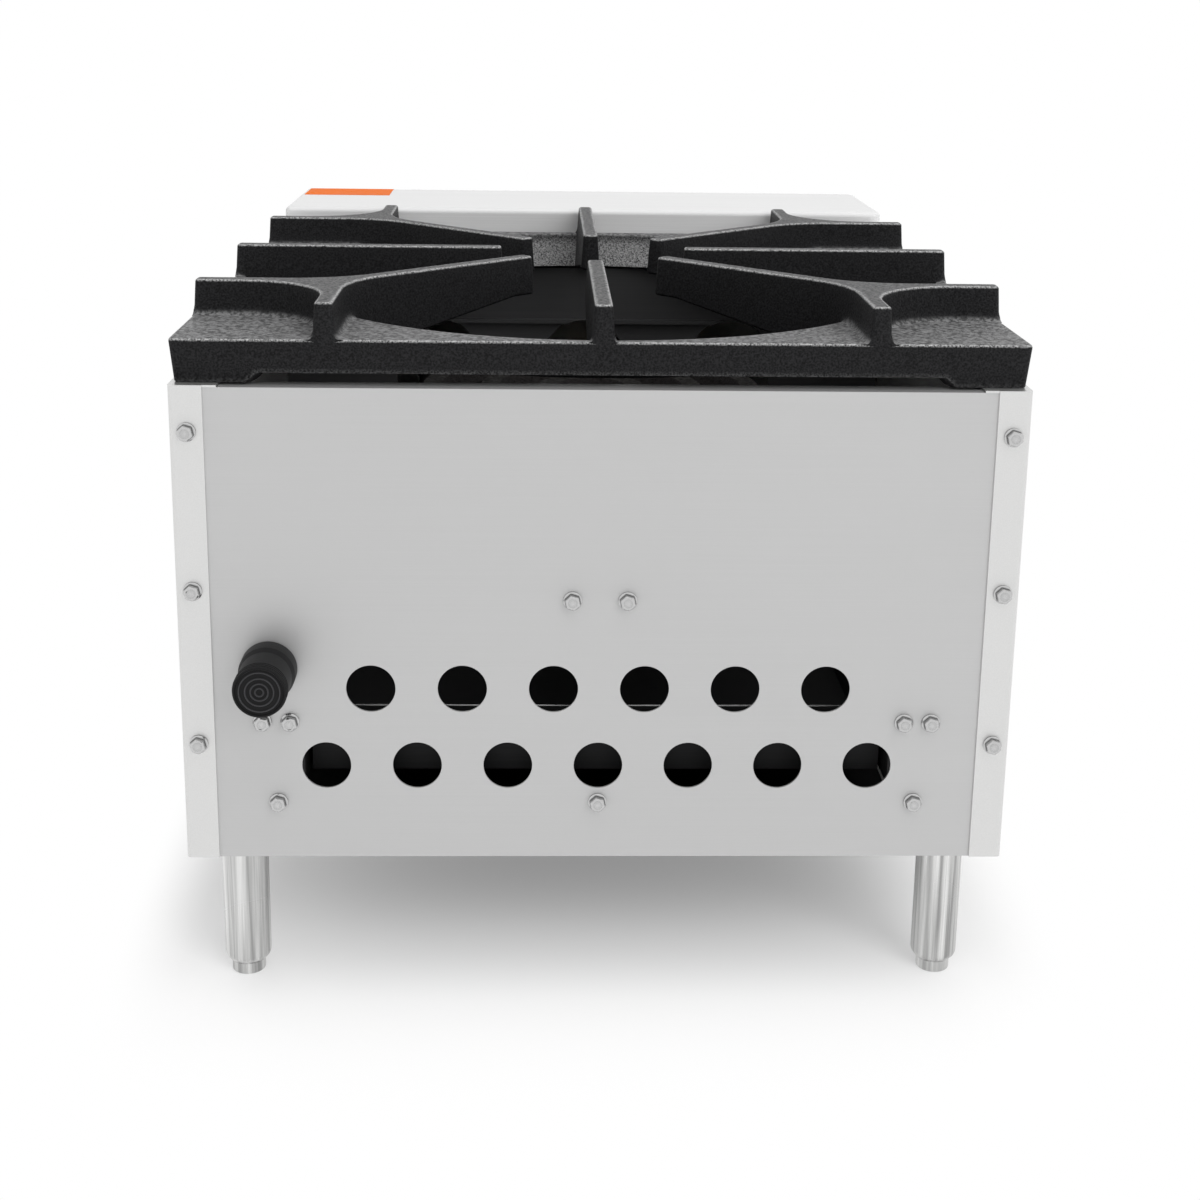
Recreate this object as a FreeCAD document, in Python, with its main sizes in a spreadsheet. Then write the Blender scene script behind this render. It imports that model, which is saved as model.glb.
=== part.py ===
"""Single-burner counter-top stock pot range, 18 inches wide, as separate pieces.

The front looks along -Y, the gas inlet is at the rear, +Z is up. The origin is on the floor, midway
between the two sides and midway between the knob fronts and the end of the inlet cap.
All lengths are in millimetres.
"""
import FreeCAD, Part
import math
import operator
import os

import Sketcher

Vector = FreeCAD.Vector

# ---------------------------------------------------------------------------------------------
# Driving dimensions
# ---------------------------------------------------------------------------------------------
SIZES = {
    # casing
    "body_width": 457.2,
    "body_depth": 600.0,
    "side_height": 269.2,
    "gauge": 1.2,
    "fit_gap": 0.3,
    "running_gap": 0.05,
    "bend_radius": 2.4,
    "return_width": 18.0,
    "top_flange": 25.5,
    "bottom_flange": 52.0,
    "fold_width": 14.0,
    # rear panel
    "vent_radius": 13.5,
    "vent_pitch": 50.0,
    "vent_low_level": 55.0,
    "vent_high_level": 100.0,
    # rear bolts
    "bolt_head_flats": 10.0,
    "bolt_head_height": 5.8,
    "edge_bolt_inset": 9.1,
    "edge_bolt_middle": 156.0,
    "edge_bolt_pitch": 88.0,
    "bracket_bolt_level": 151.0,
    "bracket_bolt_pitch": 30.0,
    "runner_bolt_drop": 31.5,
    "runner_bolt_inset": 51.6,
    "runner_bolt_pitch": 15.0,
    "rail_bolt_level": 33.0,
    # front ledge and the blank label on it
    "ledge_gap": 3.0,
    "ledge_height": 41.0,
    "ledge_rim_radius": 4.0,
    "ledge_corner_radius": 4.2,
    "ledge_end_radius": 9.0,
    "label_width": 68.0,
    "label_depth": 46.0,
    "label_gauge": 0.3,
    "label_inset": 4.4,
    # front
    "panel_bottom": 95.0,
    "tray_front_bottom": 44.0,
    "tray_front_gap": 1.0,
    "front_rail_depth": 30.0,
    # lower rear rail
    "rear_rail_bottom": 16.0,
    "rear_rail_top": 40.5,
    "rear_rail_depth": 28.0,
    # drip tray and its runners
    "tray_side_gap": 68.6,
    "tray_depth_below_rim": 38.0,
    "tray_rear_gap": 18.0,
    "runner_clearance": 2.0,
    "runner_foot": 17.0,
    "runner_tab_width": 30.0,
    "runner_tab_height": 29.0,
    "pull_width": 170.0,
    "pull_reach": 24.0,
    "pull_drop": 12.0,
    "pull_level": 84.0,
    # bottom heat shield
    "shield_overlap": 2.4,
    # burner box
    "baffle_ledge_gap": 20.0,
    "baffle_bottom": 130.0,
    "baffle_lip_level": 226.0,
    "baffle_lip_height": 3.0,
    "baffle_lip_depth": 5.0,
    "baffle_cover": 30.0,
    "arch_radius": 31.0,
    "arch_level": 198.0,
    "burner_rail_width": 26.0,
    "burner_rail_drop": 22.0,
    "bracket_width": 50.0,
    "bracket_margin": 15.0,
    "bracket_side": 12.0,
    "cradle_width": 20.0,
    "cradle_height": 6.0,
    "cradle_offset": 22.0,
    # burner: three nested rings, each with its own mixing tube
    "ring_top": 222.0,
    "ring_height": 24.0,
    "ring_width": 24.0,
    "inner_ring_radius": 28.0,
    "middle_ring_radius": 66.0,
    "outer_ring_radius": 104.0,
    "mixer_pitch": 112.0,
    "mixer_level": 170.0,
    "mixer_radius": 16.0,
    "mixer_throat": 13.0,
    "riser_radius": 10.5,
    "riser_bend": 14.0,
    "bell_radius": 20.0,
    "bell_length": 34.0,
    "bell_plate": 3.0,
    "mouth_setback": 74.0,
    "window_inset": 8.0,
    "window_width": 8.5,
    "window_height": 18.0,
    "lug_width": 14.0,
    "shutter_radius": 21.5,
    "shutter_gauge": 1.2,
    "shutter_gap": 0.3,
    # gas train
    "pipe_radius": 13.335,
    "pipe_bore": 10.4,
    "pipe_bore_depth": 45.0,
    "inlet_inset": 48.6,
    "inlet_level": 112.0,
    "inlet_hole_gap": 1.6,
    "inlet_reach": 30.0,
    "manifold_setback": 38.0,
    "manifold_end": 150.0,
    "elbow_bend": 12.0,
    "elbow_wall": 3.0,
    "elbow_end": 20.0,
    "collar_radius": 19.0,
    "collar_length": 8.0,
    "boss_width": 20.0,
    "boss_rise": 2.0,
    "strap_offset": 84.0,
    "strap_gauge": 3.0,
    "strap_margin": 6.0,
    "valve_width": 22.0,
    "valve_front": 12.0,
    "valve_length": 40.0,
    "valve_shank_width": 13.0,
    "hood_radius": 6.0,
    "hood_length": 26.0,
    "stem_radius": 4.0,
    "stem_depth": 15.0,
    "stem_hole_gap": 2.5,
    # controls
    "knob_radius": 23.0,
    "knob_neck_radius": 18.0,
    "knob_skirt": 8.0,
    "knob_body": 14.0,
    "knob_reach": 36.0,
    "knob_gap": 2.0,
    "grip_width": 11.0,
    "grip_length": 42.0,
    # pilot
    "pilot_offset": 56.0,
    "pilot_body_radius": 7.0,
    "pilot_body_height": 20.0,
    "pilot_outlet": 12.0,
    "pilot_tube_radius": 3.2,
    "pilot_bend": 12.0,
    "pilot_screw_radius": 2.5,
    "pilot_screw_length": 8.0,
    "pilot_head_radius": 5.5,
    "pilot_head_height": 20.0,
    "pilot_ring_gap": 8.0,
    "pilot_strip_width": 18.0,
    "pilot_strip_gauge": 2.0,
    "pilot_shelf_level": 202.0,
    # inlet cap
    "cap_reach": 36.0,
    "cap_wall": 0.9,
    "cap_clearance": 0.06,
    "cap_collar_height": 3.0,
    "cap_collar_radius": 15.4,
    # legs and feet
    "leg_height": 90.0,
    "leg_side_inset": 25.6,
    "leg_end_inset": 40.0,
    "leg_radius": 13.25,
    "leg_shoulder": 2.6,
    "leg_nut_radius": 12.0,
    "leg_nut_height": 8.0,
    "foot_show": 7.0,
    "foot_radius": 9.7,
    "foot_rise": 34.0,
    # grate
    "grate_side_gap": 0.1,
    "grate_setback": 5.0,
    "grate_plate_rise": 23.8,
    "grate_plate": 8.0,
    "skirt_height": 18.5,
    "skirt_wall": 7.0,
    "skirt_draft": 1.6,
    "foot_pad_length": 38.0,
    "foot_pad_slope": 5.5,
    "rib_rise": 19.6,
    "rib_top_width": 9.5,
    "rib_draft": 0.07,
    "rib_offset": 147.0,
    "rib_end_draft": 1.4,
    "finger_reach": 59.0,
    "finger_tip_height": 21.0,
    "finger_slope_reach": 200.0,
    "flank_radius": 70.0,
    "web_radius": 55.0,
    "frame_corner_radius": 3.0,
    "opening_band": 6.0,
    "opening_corner_gap": 1.0,
    "bowl_drop": 23.0,
    "bowl_slope": 16.0,
    "bowl_wall": 6.0,
}

OPERATIONS = {"+": operator.add, "-": operator.sub, "*": operator.mul, "/": operator.truediv}


def formula(value):
    """The sheet formula of a size, or the plain number as text."""
    return value.formula if isinstance(value, Size) else repr(float(value))


class Size(float):
    """A number that remembers the sheet cells it is worked out from."""

    def __new__(cls, value, text):
        size = float.__new__(cls, value)
        size.formula = text
        return size

    def join(self, other, sign, flipped=False):
        left, right = (other, self) if flipped else (self, other)
        value = OPERATIONS[sign](float(left), float(right))
        return Size(value, f"({formula(left)} {sign} {formula(right)})")

    def __add__(self, other):
        return self.join(other, "+")

    def __radd__(self, other):
        return self.join(other, "+", flipped=True)

    def __sub__(self, other):
        return self.join(other, "-")

    def __rsub__(self, other):
        return self.join(other, "-", flipped=True)

    def __mul__(self, other):
        return self.join(other, "*")

    def __rmul__(self, other):
        return self.join(other, "*", flipped=True)

    def __truediv__(self, other):
        return self.join(other, "/")

    def __neg__(self):
        return self.join(-1.0, "*")


doc = FreeCAD.newDocument("StockPotRange")
sheet = doc.addObject("Spreadsheet::Sheet", "Sizes")
for row, (alias, number) in enumerate(SIZES.items(), start=1):
    sheet.set(f"A{row}", alias)
    sheet.set(f"B{row}", str(number))
    sheet.setAlias(f"B{row}", alias)
doc.recompute()


class Sheet:
    """Gives each cell of the sheet as a Size, by its alias."""

    def __getattr__(self, alias):
        return Size(sheet.get(alias), f"Sizes.{alias}")


d = Sheet()
subparts = []

# Places that several pieces share
half_width = d.body_width / 2
rear_y = (d.body_depth + d.knob_reach - d.cap_reach) / 2
front_y = rear_y - d.body_depth
skin_y = front_y + d.gauge
base_z = d.leg_height
side_top = base_z + d.side_height
rear_top = side_top - d.gauge
rear_panel_y = rear_y - d.gauge
rear_inner_y = rear_y - d.gauge * 2
inner_half = half_width - d.gauge - d.fit_gap
rear_panel_half = half_width - d.bend_radius - d.fit_gap
grate_span = half_width - d.grate_side_gap
grate_y = rear_y - d.grate_setback - grate_span
ledge_y = grate_y - grate_span - d.ledge_gap
baffle_y = ledge_y + d.baffle_ledge_gap
ring_bottom_z = base_z + d.ring_top - d.ring_height
mixer_z = base_z + d.mixer_level
mouth_y = front_y + d.mouth_setback
manifold_y = front_y + d.manifold_setback
manifold_z = base_z + d.inlet_level
boss_top_z = manifold_z + d.pipe_radius + d.boss_rise
burner_rail_z = mixer_z - d.bell_radius
cradle_bottom_z = ring_bottom_z - d.cradle_height
front_rail_top = base_z + d.tray_front_bottom - d.tray_front_gap
tray_half = half_width - d.tray_side_gap
runner_bolt_level = d.inlet_level - d.runner_bolt_drop
runner_bolt_centre = half_width - d.runner_bolt_inset
inlet_x = half_width - d.inlet_inset
elbow_reach = d.elbow_bend + d.elbow_end
MIXER_SIDES = {"left": -1, "center": 0, "right": 1}
LEGS = {
    "front_left": (-1, -1),
    "front_right": (1, -1),
    "rear_left": (-1, 1),
    "rear_right": (1, 1),
}

# ---------------------------------------------------------------------------------------------
# Helpers that make document objects bound to the sheet
# ---------------------------------------------------------------------------------------------
NORMALS = {"XY_Plane": 1, "XZ_Plane": -1, "YZ_Plane": 1}


def bind(thing, field, value):
    """Ties one property of an object to the sheet."""
    thing.setExpression(field, formula(value))


def place(thing, x=0, y=0, z=0, rotation=None):
    """Puts an object in the part's frame, with its position tied to the sheet."""
    thing.Placement = FreeCAD.Placement(Vector(), rotation or FreeCAD.Rotation())
    for axis, value in zip("xyz", (x, y, z)):
        bind(thing, f"Placement.Base.{axis}", value)


def new_body(label):
    body = doc.addObject("PartDesign::Body", label)
    body.Label = label
    subparts.append(body)
    return body


def attach(feature, body, role):
    """Attaches a sketch or a primitive to one of the body's own origin planes."""
    plane = next(item for item in body.Origin.OriginFeatures if item.Role == role)
    feature.AttachmentSupport = [(plane, "")]
    feature.MapMode = "FlatFace"


def sketch_on(body, role, level=0):
    """A sketch on an origin plane, moved to the given level along the axis it faces."""
    sketch = body.newObject("Sketcher::SketchObject", "Profile")
    attach(sketch, body, role)
    bind(sketch, "AttachmentOffset.Base.z", level * NORMALS[role])
    return sketch


def fix_point(sketch, edge, end, x, y):
    """Fixes a sketch point by its distances from the sketch's origin."""
    for kind, value in (("DistanceX", x), ("DistanceY", y)):
        rule = Sketcher.Constraint(kind, -1, 1, edge, end, float(value))
        index = sketch.addConstraint(rule)
        sketch.setExpression(f"Constraints[{index}]", formula(value))


def outline(sketch, points):
    """A closed outline of straight edges through the points, each point fixed."""
    corners = [Vector(float(x), float(y), 0) for x, y in points]
    first = sketch.GeometryCount
    count = len(corners)
    for index, corner in enumerate(corners):
        sketch.addGeometry(Part.LineSegment(corner, corners[(index + 1) % count]))
    for index in range(count):
        following = first + (index + 1) % count
        sketch.addConstraint(Sketcher.Constraint("Coincident", first + index, 2, following, 1))
    for index, (x, y) in enumerate(points):
        fix_point(sketch, first + index, 1, x, y)


def circle(sketch, x, y, radius):
    """A circle in a sketch, its centre and radius tied to the sheet."""
    shape = Part.Circle(Vector(float(x), float(y), 0), Vector(0, 0, 1), float(radius))
    index = sketch.addGeometry(shape)
    fix_point(sketch, index, 3, x, y)
    rule = sketch.addConstraint(Sketcher.Constraint("Radius", index, float(radius)))
    sketch.setExpression(f"Constraints[{rule}]", formula(radius))


def facing(sketch):
    """Which way a sketch's normal points along its axis of the part: 1 or -1."""
    return NORMALS[sketch.AttachmentSupport[0][0].Role]


def pad(body, sketch, length, toward=1):
    """Extrudes a sketch along its axis, towards + or -."""
    feature = body.newObject("PartDesign::Pad", "Pad")
    feature.Profile = sketch
    bind(feature, "Length", length)
    feature.Reversed = toward != facing(sketch)
    return feature


def cut_through(body, sketch, toward=1):
    """Cuts a sketch through everything that lies on one side of it."""
    feature = body.newObject("PartDesign::Pocket", "Pocket")
    feature.Profile = sketch
    feature.Type = "ThroughAll"
    feature.Reversed = toward == facing(sketch)
    return feature


def block(body, corner, opposite, kind="Additive"):
    """Adds a box between two corners to a body, or takes it away."""
    feature = body.newObject(f"PartDesign::{kind}Box", "Block")
    attach(feature, body, "XY_Plane")
    for axis, field, one, other in zip("xyz", ("Length", "Width", "Height"), corner, opposite):
        low, high = sorted((one, other))
        bind(feature, field, high - low)
        bind(feature, f"AttachmentOffset.Base.{axis}", low)
    return feature


def round_edges(body, base, radius, middles):
    """Fillets the edges of a feature whose middles lie at the given points."""
    doc.recompute()
    names = []
    for number, edge in enumerate(base.Shape.Edges, start=1):
        middle = edge.valueAt((edge.FirstParameter + edge.LastParameter) / 2)
        if any(middle.distanceToPoint(Vector(*spot)) < 0.01 for spot in middles):
            names.append(f"Edge{number}")
    if len(names) != len(middles):
        raise ValueError(f"{body.Label}: {len(names)} edges found for {len(middles)} bends")
    feature = body.newObject("PartDesign::Fillet", "Bend")
    feature.Base = (base, names)
    bind(feature, "Radius", radius)
    return feature


TURNS = {
    "+Z": FreeCAD.Rotation(),
    "+Y": FreeCAD.Rotation(Vector(1, 0, 0), -90),
    "-Y": FreeCAD.Rotation(Vector(1, 0, 0), 90),
    "+X": FreeCAD.Rotation(Vector(0, 1, 0), 90),
}


def turned(label, profile, x, y, z, toward="+Z"):
    """A body turned from a profile of (radius, height) points about its own axis."""
    body = new_body(label)
    sketch = sketch_on(body, "XZ_Plane")
    outline(sketch, profile)
    feature = body.newObject("PartDesign::Revolution", "Turned")
    feature.Profile = sketch
    feature.ReferenceAxis = (sketch, ["V_Axis"])
    feature.Angle = 360
    place(body, x, y, z, TURNS[toward])
    return body


def shaped(label, shape, x=0, y=0, z=0):
    """A piece whose shape is worked out with Part's own functions."""
    feature = doc.addObject("Part::Feature", label)
    feature.Label = label
    feature.Shape = shape
    place(feature, x, y, z)
    subparts.append(feature)
    return feature


def cylinder(start, radius, length, axis=Vector(0, 0, 1)):
    return Part.makeCylinder(radius, length, Vector(*start), axis)


def hexagon(start, radius, run):
    """A hexagonal bar from a start point along a run, with the radius across its corners."""
    turn = FreeCAD.Rotation(Vector(0, 0, 1), run)
    angles = [math.radians(60 * number) for number in range(7)]
    flat = [Vector(radius * math.cos(angle), radius * math.sin(angle), 0) for angle in angles]
    corners = [start + turn.multVec(point) for point in flat]
    return Part.Face(Part.makePolygon(corners)).extrude(run)


def tube_along(points, radius, bend):
    """A round bar through points, each corner cut across and mitred."""
    places = [Vector(*point) for point in points]
    stations = places[:1]
    for before, corner, after in zip(places, places[1:], places[2:]):
        back = (before - corner).normalize()
        ahead = (after - corner).normalize()
        stations += [corner + back * bend, corner + ahead * bend]
    stations.append(places[-1])
    ring = Part.Circle(places[0], places[1] - places[0], float(radius)).toShape()
    return Part.Wire(Part.makePolygon(stations)).makePipeShell([Part.Wire(ring)], True, False, 1)


# ---------------------------------------------------------------------------------------------
# Casing
# ---------------------------------------------------------------------------------------------
def side_panel(label, side):
    """A folded side: wall, returns at rear and front, flanges at top and bottom."""
    body = new_body(label)
    place(body, z=base_z)
    outer = side * half_width
    wall = side * (half_width - d.gauge)
    lip = side * (half_width - d.return_width)
    plan = sketch_on(body, "XY_Plane")
    outline(plan, [
        (lip, rear_y),
        (outer, rear_y),
        (outer, skin_y),
        (lip, skin_y),
        (lip, skin_y + d.gauge),
        (wall, skin_y + d.gauge),
        (wall, rear_y - d.gauge),
        (lip, rear_y - d.gauge),
    ])
    wrap = pad(body, plan, d.side_height)
    middle = d.side_height / 2
    outside = [(outer, rear_y, middle), (outer, skin_y, middle)]
    bends = round_edges(body, wrap, d.bend_radius, outside)
    inside = [(wall, rear_y - d.gauge, middle), (wall, skin_y + d.gauge, middle)]
    round_edges(body, bends, d.bend_radius - d.gauge, inside)
    seam = side * (half_width - d.gauge / 2)
    top_lip = side * (half_width - d.top_flange)
    block(body, (top_lip, skin_y + d.gauge / 2, d.side_height - d.gauge),
          (seam, rear_y - d.gauge / 2, d.side_height))
    bottom_lip = side * (half_width - d.bottom_flange)
    block(body, (bottom_lip, skin_y + d.gauge / 2, 0),
          (seam, rear_inner_y - d.fit_gap, d.gauge))
    return body


def edge_bolt_places():
    """The bolts through the side returns, as (x, height above the casing's bottom)."""
    column = half_width - d.edge_bolt_inset
    return [
        (side * column, d.edge_bolt_middle + step * d.edge_bolt_pitch)
        for side in (-1, 1)
        for step in (-1, 0, 1)
    ]


def runner_bolt_places():
    """The two bolts that hold the rear tab of each tray runner."""
    return [
        (side * (runner_bolt_centre + step * d.runner_bolt_pitch / 2), runner_bolt_level)
        for side in (-1, 1)
        for step in (-1, 1)
    ]


def bracket_bolt_places():
    """The two bolts that hold the burner's rear bracket."""
    return [(side * d.bracket_bolt_pitch / 2, d.bracket_bolt_level) for side in (-1, 1)]


def rail_bolt_places():
    """The three bolts that hold the lower rear rail."""
    return [(side * runner_bolt_centre, d.rail_bolt_level) for side in (-1, 0, 1)]


def field_bolt_places():
    """The bolts that go through the rear panel alone."""
    return bracket_bolt_places() + runner_bolt_places() + rail_bolt_places()


def vent_places():
    """Two staggered rows of vents: seven below, six above."""
    low = [((step - 3) * d.vent_pitch, d.vent_low_level) for step in range(7)]
    high = [((step - 2.5) * d.vent_pitch, d.vent_high_level) for step in range(6)]
    return low + high


def rear_panel():
    """The flat rear panel with its vents, folded in at the top and the bottom."""
    body = new_body("rear_panel")
    place(body, z=base_z)
    height = rear_top - base_z
    block(body, (-rear_panel_half, rear_inner_y, 0), (rear_panel_half, rear_panel_y, height))
    seam_y = rear_panel_y - d.gauge / 2
    low_fold = half_width - d.bottom_flange - d.fit_gap
    block(body, (-low_fold, rear_inner_y - d.fold_width, 0), (low_fold, seam_y, d.gauge))
    high_fold = half_width - d.top_flange - d.fit_gap
    block(body, (-high_fold, rear_inner_y - d.fold_width, height - d.gauge),
          (high_fold, seam_y, height))
    holes = sketch_on(body, "XZ_Plane")
    for x, z in vent_places():
        circle(holes, x, z, d.vent_radius)
    circle(holes, inlet_x, d.inlet_level, d.pipe_radius + d.inlet_hole_gap)
    cut_through(body, holes, toward=1)
    return body


def rear_panel_bolts():
    """The fifteen hexagon heads of the rear, seated on the returns or on the panel."""
    run = Vector(0, d.bolt_head_height, 0)
    corner_radius = d.bolt_head_flats / math.sqrt(3)
    seats = [Vector(x, rear_y, base_z + z) for x, z in edge_bolt_places()]
    seats += [Vector(x, rear_panel_y, base_z + z) for x, z in field_bolt_places()]
    heads = [hexagon(seat, corner_radius, run) for seat in seats]
    return shaped("rear_panel_bolts", Part.makeCompound(heads))


def control_panel():
    """The front skin behind the knobs, folded back along its lower edge."""
    body = new_body("control_panel")
    place(body, z=base_z)
    block(body, (-half_width, front_y, d.panel_bottom), (half_width, skin_y, d.side_height))
    fold = half_width - d.return_width - d.fit_gap
    block(body, (-fold, skin_y - d.gauge / 2, d.panel_bottom),
          (fold, skin_y + d.fold_width, d.panel_bottom + d.gauge))
    holes = sketch_on(body, "XZ_Plane")
    for side in MIXER_SIDES.values():
        circle(holes, side * d.mixer_pitch, d.mixer_level, d.stem_radius + d.stem_hole_gap)
    cut_through(body, holes, toward=-1)
    return body


def front_lower_rail():
    """The rail under the tray front; the tray runners stand on its upper fold."""
    body = new_body("front_lower_rail")
    place(body, z=base_z)
    top = front_rail_top - base_z
    block(body, (-half_width, front_y, 0), (half_width, skin_y, top))
    fold = half_width - d.return_width - d.fit_gap
    block(body, (-fold, skin_y - d.gauge / 2, top - d.gauge),
          (fold, skin_y + d.front_rail_depth, top))
    return body


def rear_lower_rail():
    """An angle across the rear, bolted to the panel below the vents."""
    body = new_body("rear_lower_rail")
    place(body, z=base_z)
    block(body, (-inner_half, rear_inner_y - d.gauge, d.rear_rail_bottom),
          (inner_half, rear_inner_y, d.rear_rail_top))
    block(body, (-inner_half, rear_inner_y - d.rear_rail_depth, d.rear_rail_bottom),
          (inner_half, rear_inner_y - d.gauge / 2, d.rear_rail_bottom + d.gauge))
    return body


def bottom_shield():
    """The flat heat shield that closes the bottom, lying on the flanges and the rear fold."""
    body = new_body("bottom_shield")
    place(body, z=base_z + d.gauge)
    half = half_width - d.bottom_flange + d.shield_overlap
    block(body, (-half, skin_y + d.fit_gap, 0), (half, rear_inner_y - d.fit_gap, d.gauge))
    return body


def front_ledge():
    """The raised hollow ledge in front of the grate, open underneath."""
    body = new_body("front_ledge")
    place(body, z=side_top)
    cap = block(body, (-half_width, front_y, 0), (half_width, ledge_y, d.ledge_height))
    middle = d.ledge_height / 2
    left = [(-half_width, ledge_y, middle), (-half_width, front_y, middle)]
    right = [(half_width, ledge_y, middle), (half_width, front_y, middle)]
    soft = round_edges(body, cap, d.ledge_end_radius, left)
    corners = round_edges(body, soft, d.ledge_corner_radius, right)
    doc.recompute()
    rim = [
        f"Edge{number}"
        for number, edge in enumerate(corners.Shape.Edges, start=1)
        if edge.BoundBox.ZMin > d.ledge_height - 0.01
    ]
    rounded = body.newObject("PartDesign::Fillet", "Rim")
    rounded.Base = (corners, rim)
    bind(rounded, "Radius", d.ledge_rim_radius)
    plan = sketch_on(body, "XY_Plane", d.ledge_height - d.gauge)
    wall = half_width - d.gauge
    cut_off = d.ledge_end_radius
    near = front_y + d.gauge
    far = ledge_y - d.gauge
    outline(plan, [
        (-wall + cut_off, near),
        (wall - cut_off, near),
        (wall, near + cut_off),
        (wall, far - cut_off),
        (wall - cut_off, far),
        (-wall + cut_off, far),
        (-wall, far - cut_off),
        (-wall, near + cut_off),
    ])
    cut_through(body, plan, toward=-1)
    return body


def blank_label():
    """A plain adhesive label on the ledge, with nothing printed on it."""
    body = new_body("blank_label")
    place(body, z=side_top + d.ledge_height)
    right = half_width - d.label_inset
    near = front_y + d.label_inset
    block(body, (right - d.label_width, near, 0), (right, near + d.label_depth, d.label_gauge))
    return body


# ---------------------------------------------------------------------------------------------
# Drip tray
# ---------------------------------------------------------------------------------------------
tray_floor_z = front_rail_top + d.gauge + d.fit_gap
tray_front_y = front_y - d.fit_gap


def tray_runner(label, side):
    """An angle that carries one edge of the tray, with a tab bolted to the rear panel."""
    body = new_body(label)
    place(body, z=front_rail_top)
    inner = side * (tray_half + d.runner_clearance)
    outer = side * (tray_half + d.runner_clearance + d.gauge)
    foot = side * (tray_half + d.runner_clearance - d.runner_foot)
    tab_centre = base_z + runner_bolt_level - front_rail_top
    top = tab_centre + d.runner_tab_height / 2
    block(body, (inner, skin_y + d.fit_gap, 0), (outer, rear_inner_y, top))
    block(body, (foot, skin_y + d.fit_gap, 0), (outer, rear_inner_y - d.rear_rail_depth, d.gauge))
    tab_outer = side * (tray_half + d.runner_clearance + d.runner_tab_width)
    block(body, (inner, rear_inner_y - d.gauge, top - d.runner_tab_height),
          (tab_outer, rear_inner_y, top))
    return body


def drip_tray():
    """The open crumb tray that slides out to the front."""
    body = new_body("drip_tray")
    place(body, z=tray_floor_z)
    near = tray_front_y + d.gauge
    far = rear_inner_y - d.tray_rear_gap
    block(body, (-tray_half, near, 0), (tray_half, far, d.tray_depth_below_rim))
    block(body, (-tray_half + d.gauge, near + d.gauge, d.gauge),
          (tray_half - d.gauge, far - d.gauge, d.tray_depth_below_rim * 2), "Subtractive")
    return body


def tray_front():
    """The tray's front plate, which closes the gap below the control panel."""
    body = new_body("tray_front")
    place(body, z=base_z)
    edge = half_width - d.tray_front_gap
    top = d.panel_bottom - d.tray_front_gap
    block(body, (-edge, tray_front_y, d.tray_front_bottom), (edge, tray_front_y + d.gauge, top))
    return body


def tray_pull():
    """A folded finger pull on the tray front."""
    body = new_body("tray_pull")
    place(body, y=tray_front_y, z=base_z + d.pull_level)
    half = d.pull_width / 2
    side_view = sketch_on(body, "YZ_Plane", -half)
    outline(side_view, [
        (0, 0),
        (-d.pull_reach, 0),
        (-d.pull_reach, -d.pull_drop),
        (-d.pull_reach + d.gauge, -d.pull_drop),
        (-d.pull_reach + d.gauge, -d.gauge),
        (-d.gauge, -d.gauge),
        (-d.gauge, -d.pull_drop),
        (0, -d.pull_drop),
    ])
    strip = pad(body, side_view, d.pull_width)
    bend = round_edges(body, strip, d.bend_radius, [(0, -d.pull_reach, 0)])
    inside = [(0, -d.pull_reach + d.gauge, -d.gauge)]
    round_edges(body, bend, d.bend_radius - d.gauge, inside)
    return body


# ---------------------------------------------------------------------------------------------
# Burner box and burner
# ---------------------------------------------------------------------------------------------
def burner_baffle():
    """The wall in front of the burner, with an arch over each mixing tube."""
    body = new_body("burner_baffle")
    place(body, y=baffle_y, z=base_z)
    top = rear_top - base_z
    block(body, (-inner_half, 0, d.baffle_bottom), (inner_half, d.gauge, top))
    block(body, (-inner_half, -d.baffle_cover, top - d.gauge), (inner_half, d.gauge / 2, top))
    lip_top = d.baffle_lip_level + d.baffle_lip_height
    block(body, (-inner_half, d.gauge / 2, d.baffle_lip_level),
          (inner_half, d.gauge + d.baffle_lip_depth, lip_top))
    for side in (-1, 1):
        end = side * inner_half
        block(body, (end, -d.fold_width, d.baffle_bottom), (end - side * d.gauge, d.gauge / 2, top))
    for side in MIXER_SIDES.values():
        centre = side * d.mixer_pitch
        block(body, (centre - d.arch_radius, -d.fold_width / 2, 0),
              (centre + d.arch_radius, d.fold_width, d.arch_level), "Subtractive")
    arches = sketch_on(body, "XZ_Plane", -d.fold_width / 2)
    for side in MIXER_SIDES.values():
        circle(arches, side * d.mixer_pitch, d.arch_level, d.arch_radius)
    cut_through(body, arches, toward=1)
    tube_hole = sketch_on(body, "XZ_Plane", -d.fold_width / 2)
    circle(tube_hole, d.pilot_offset, pilot_outlet_z - base_z, d.pilot_tube_radius + d.gauge)
    cut_through(body, tube_hole, toward=1)
    return body


def burner_front_rail():
    """The angle that the mixing tubes lie on, against the baffle."""
    body = new_body("burner_front_rail")
    place(body, y=baffle_y + d.gauge, z=burner_rail_z)
    block(body, (-inner_half, 0, -d.gauge), (inner_half, d.burner_rail_width, 0))
    block(body, (-inner_half, 0, -d.burner_rail_drop), (inner_half, d.gauge, -d.gauge / 2))
    for side in (-1, 1):
        end = side * inner_half
        block(body, (end, 0, -d.burner_rail_drop),
              (end - side * d.gauge, d.burner_rail_width, -d.gauge / 2))
    hole = sketch_on(body, "XZ_Plane", d.burner_rail_width / 2)
    circle(hole, d.pilot_offset, pilot_outlet_z - burner_rail_z, d.pilot_tube_radius + d.gauge)
    cut_through(body, hole, toward=-1)
    return body


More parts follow.
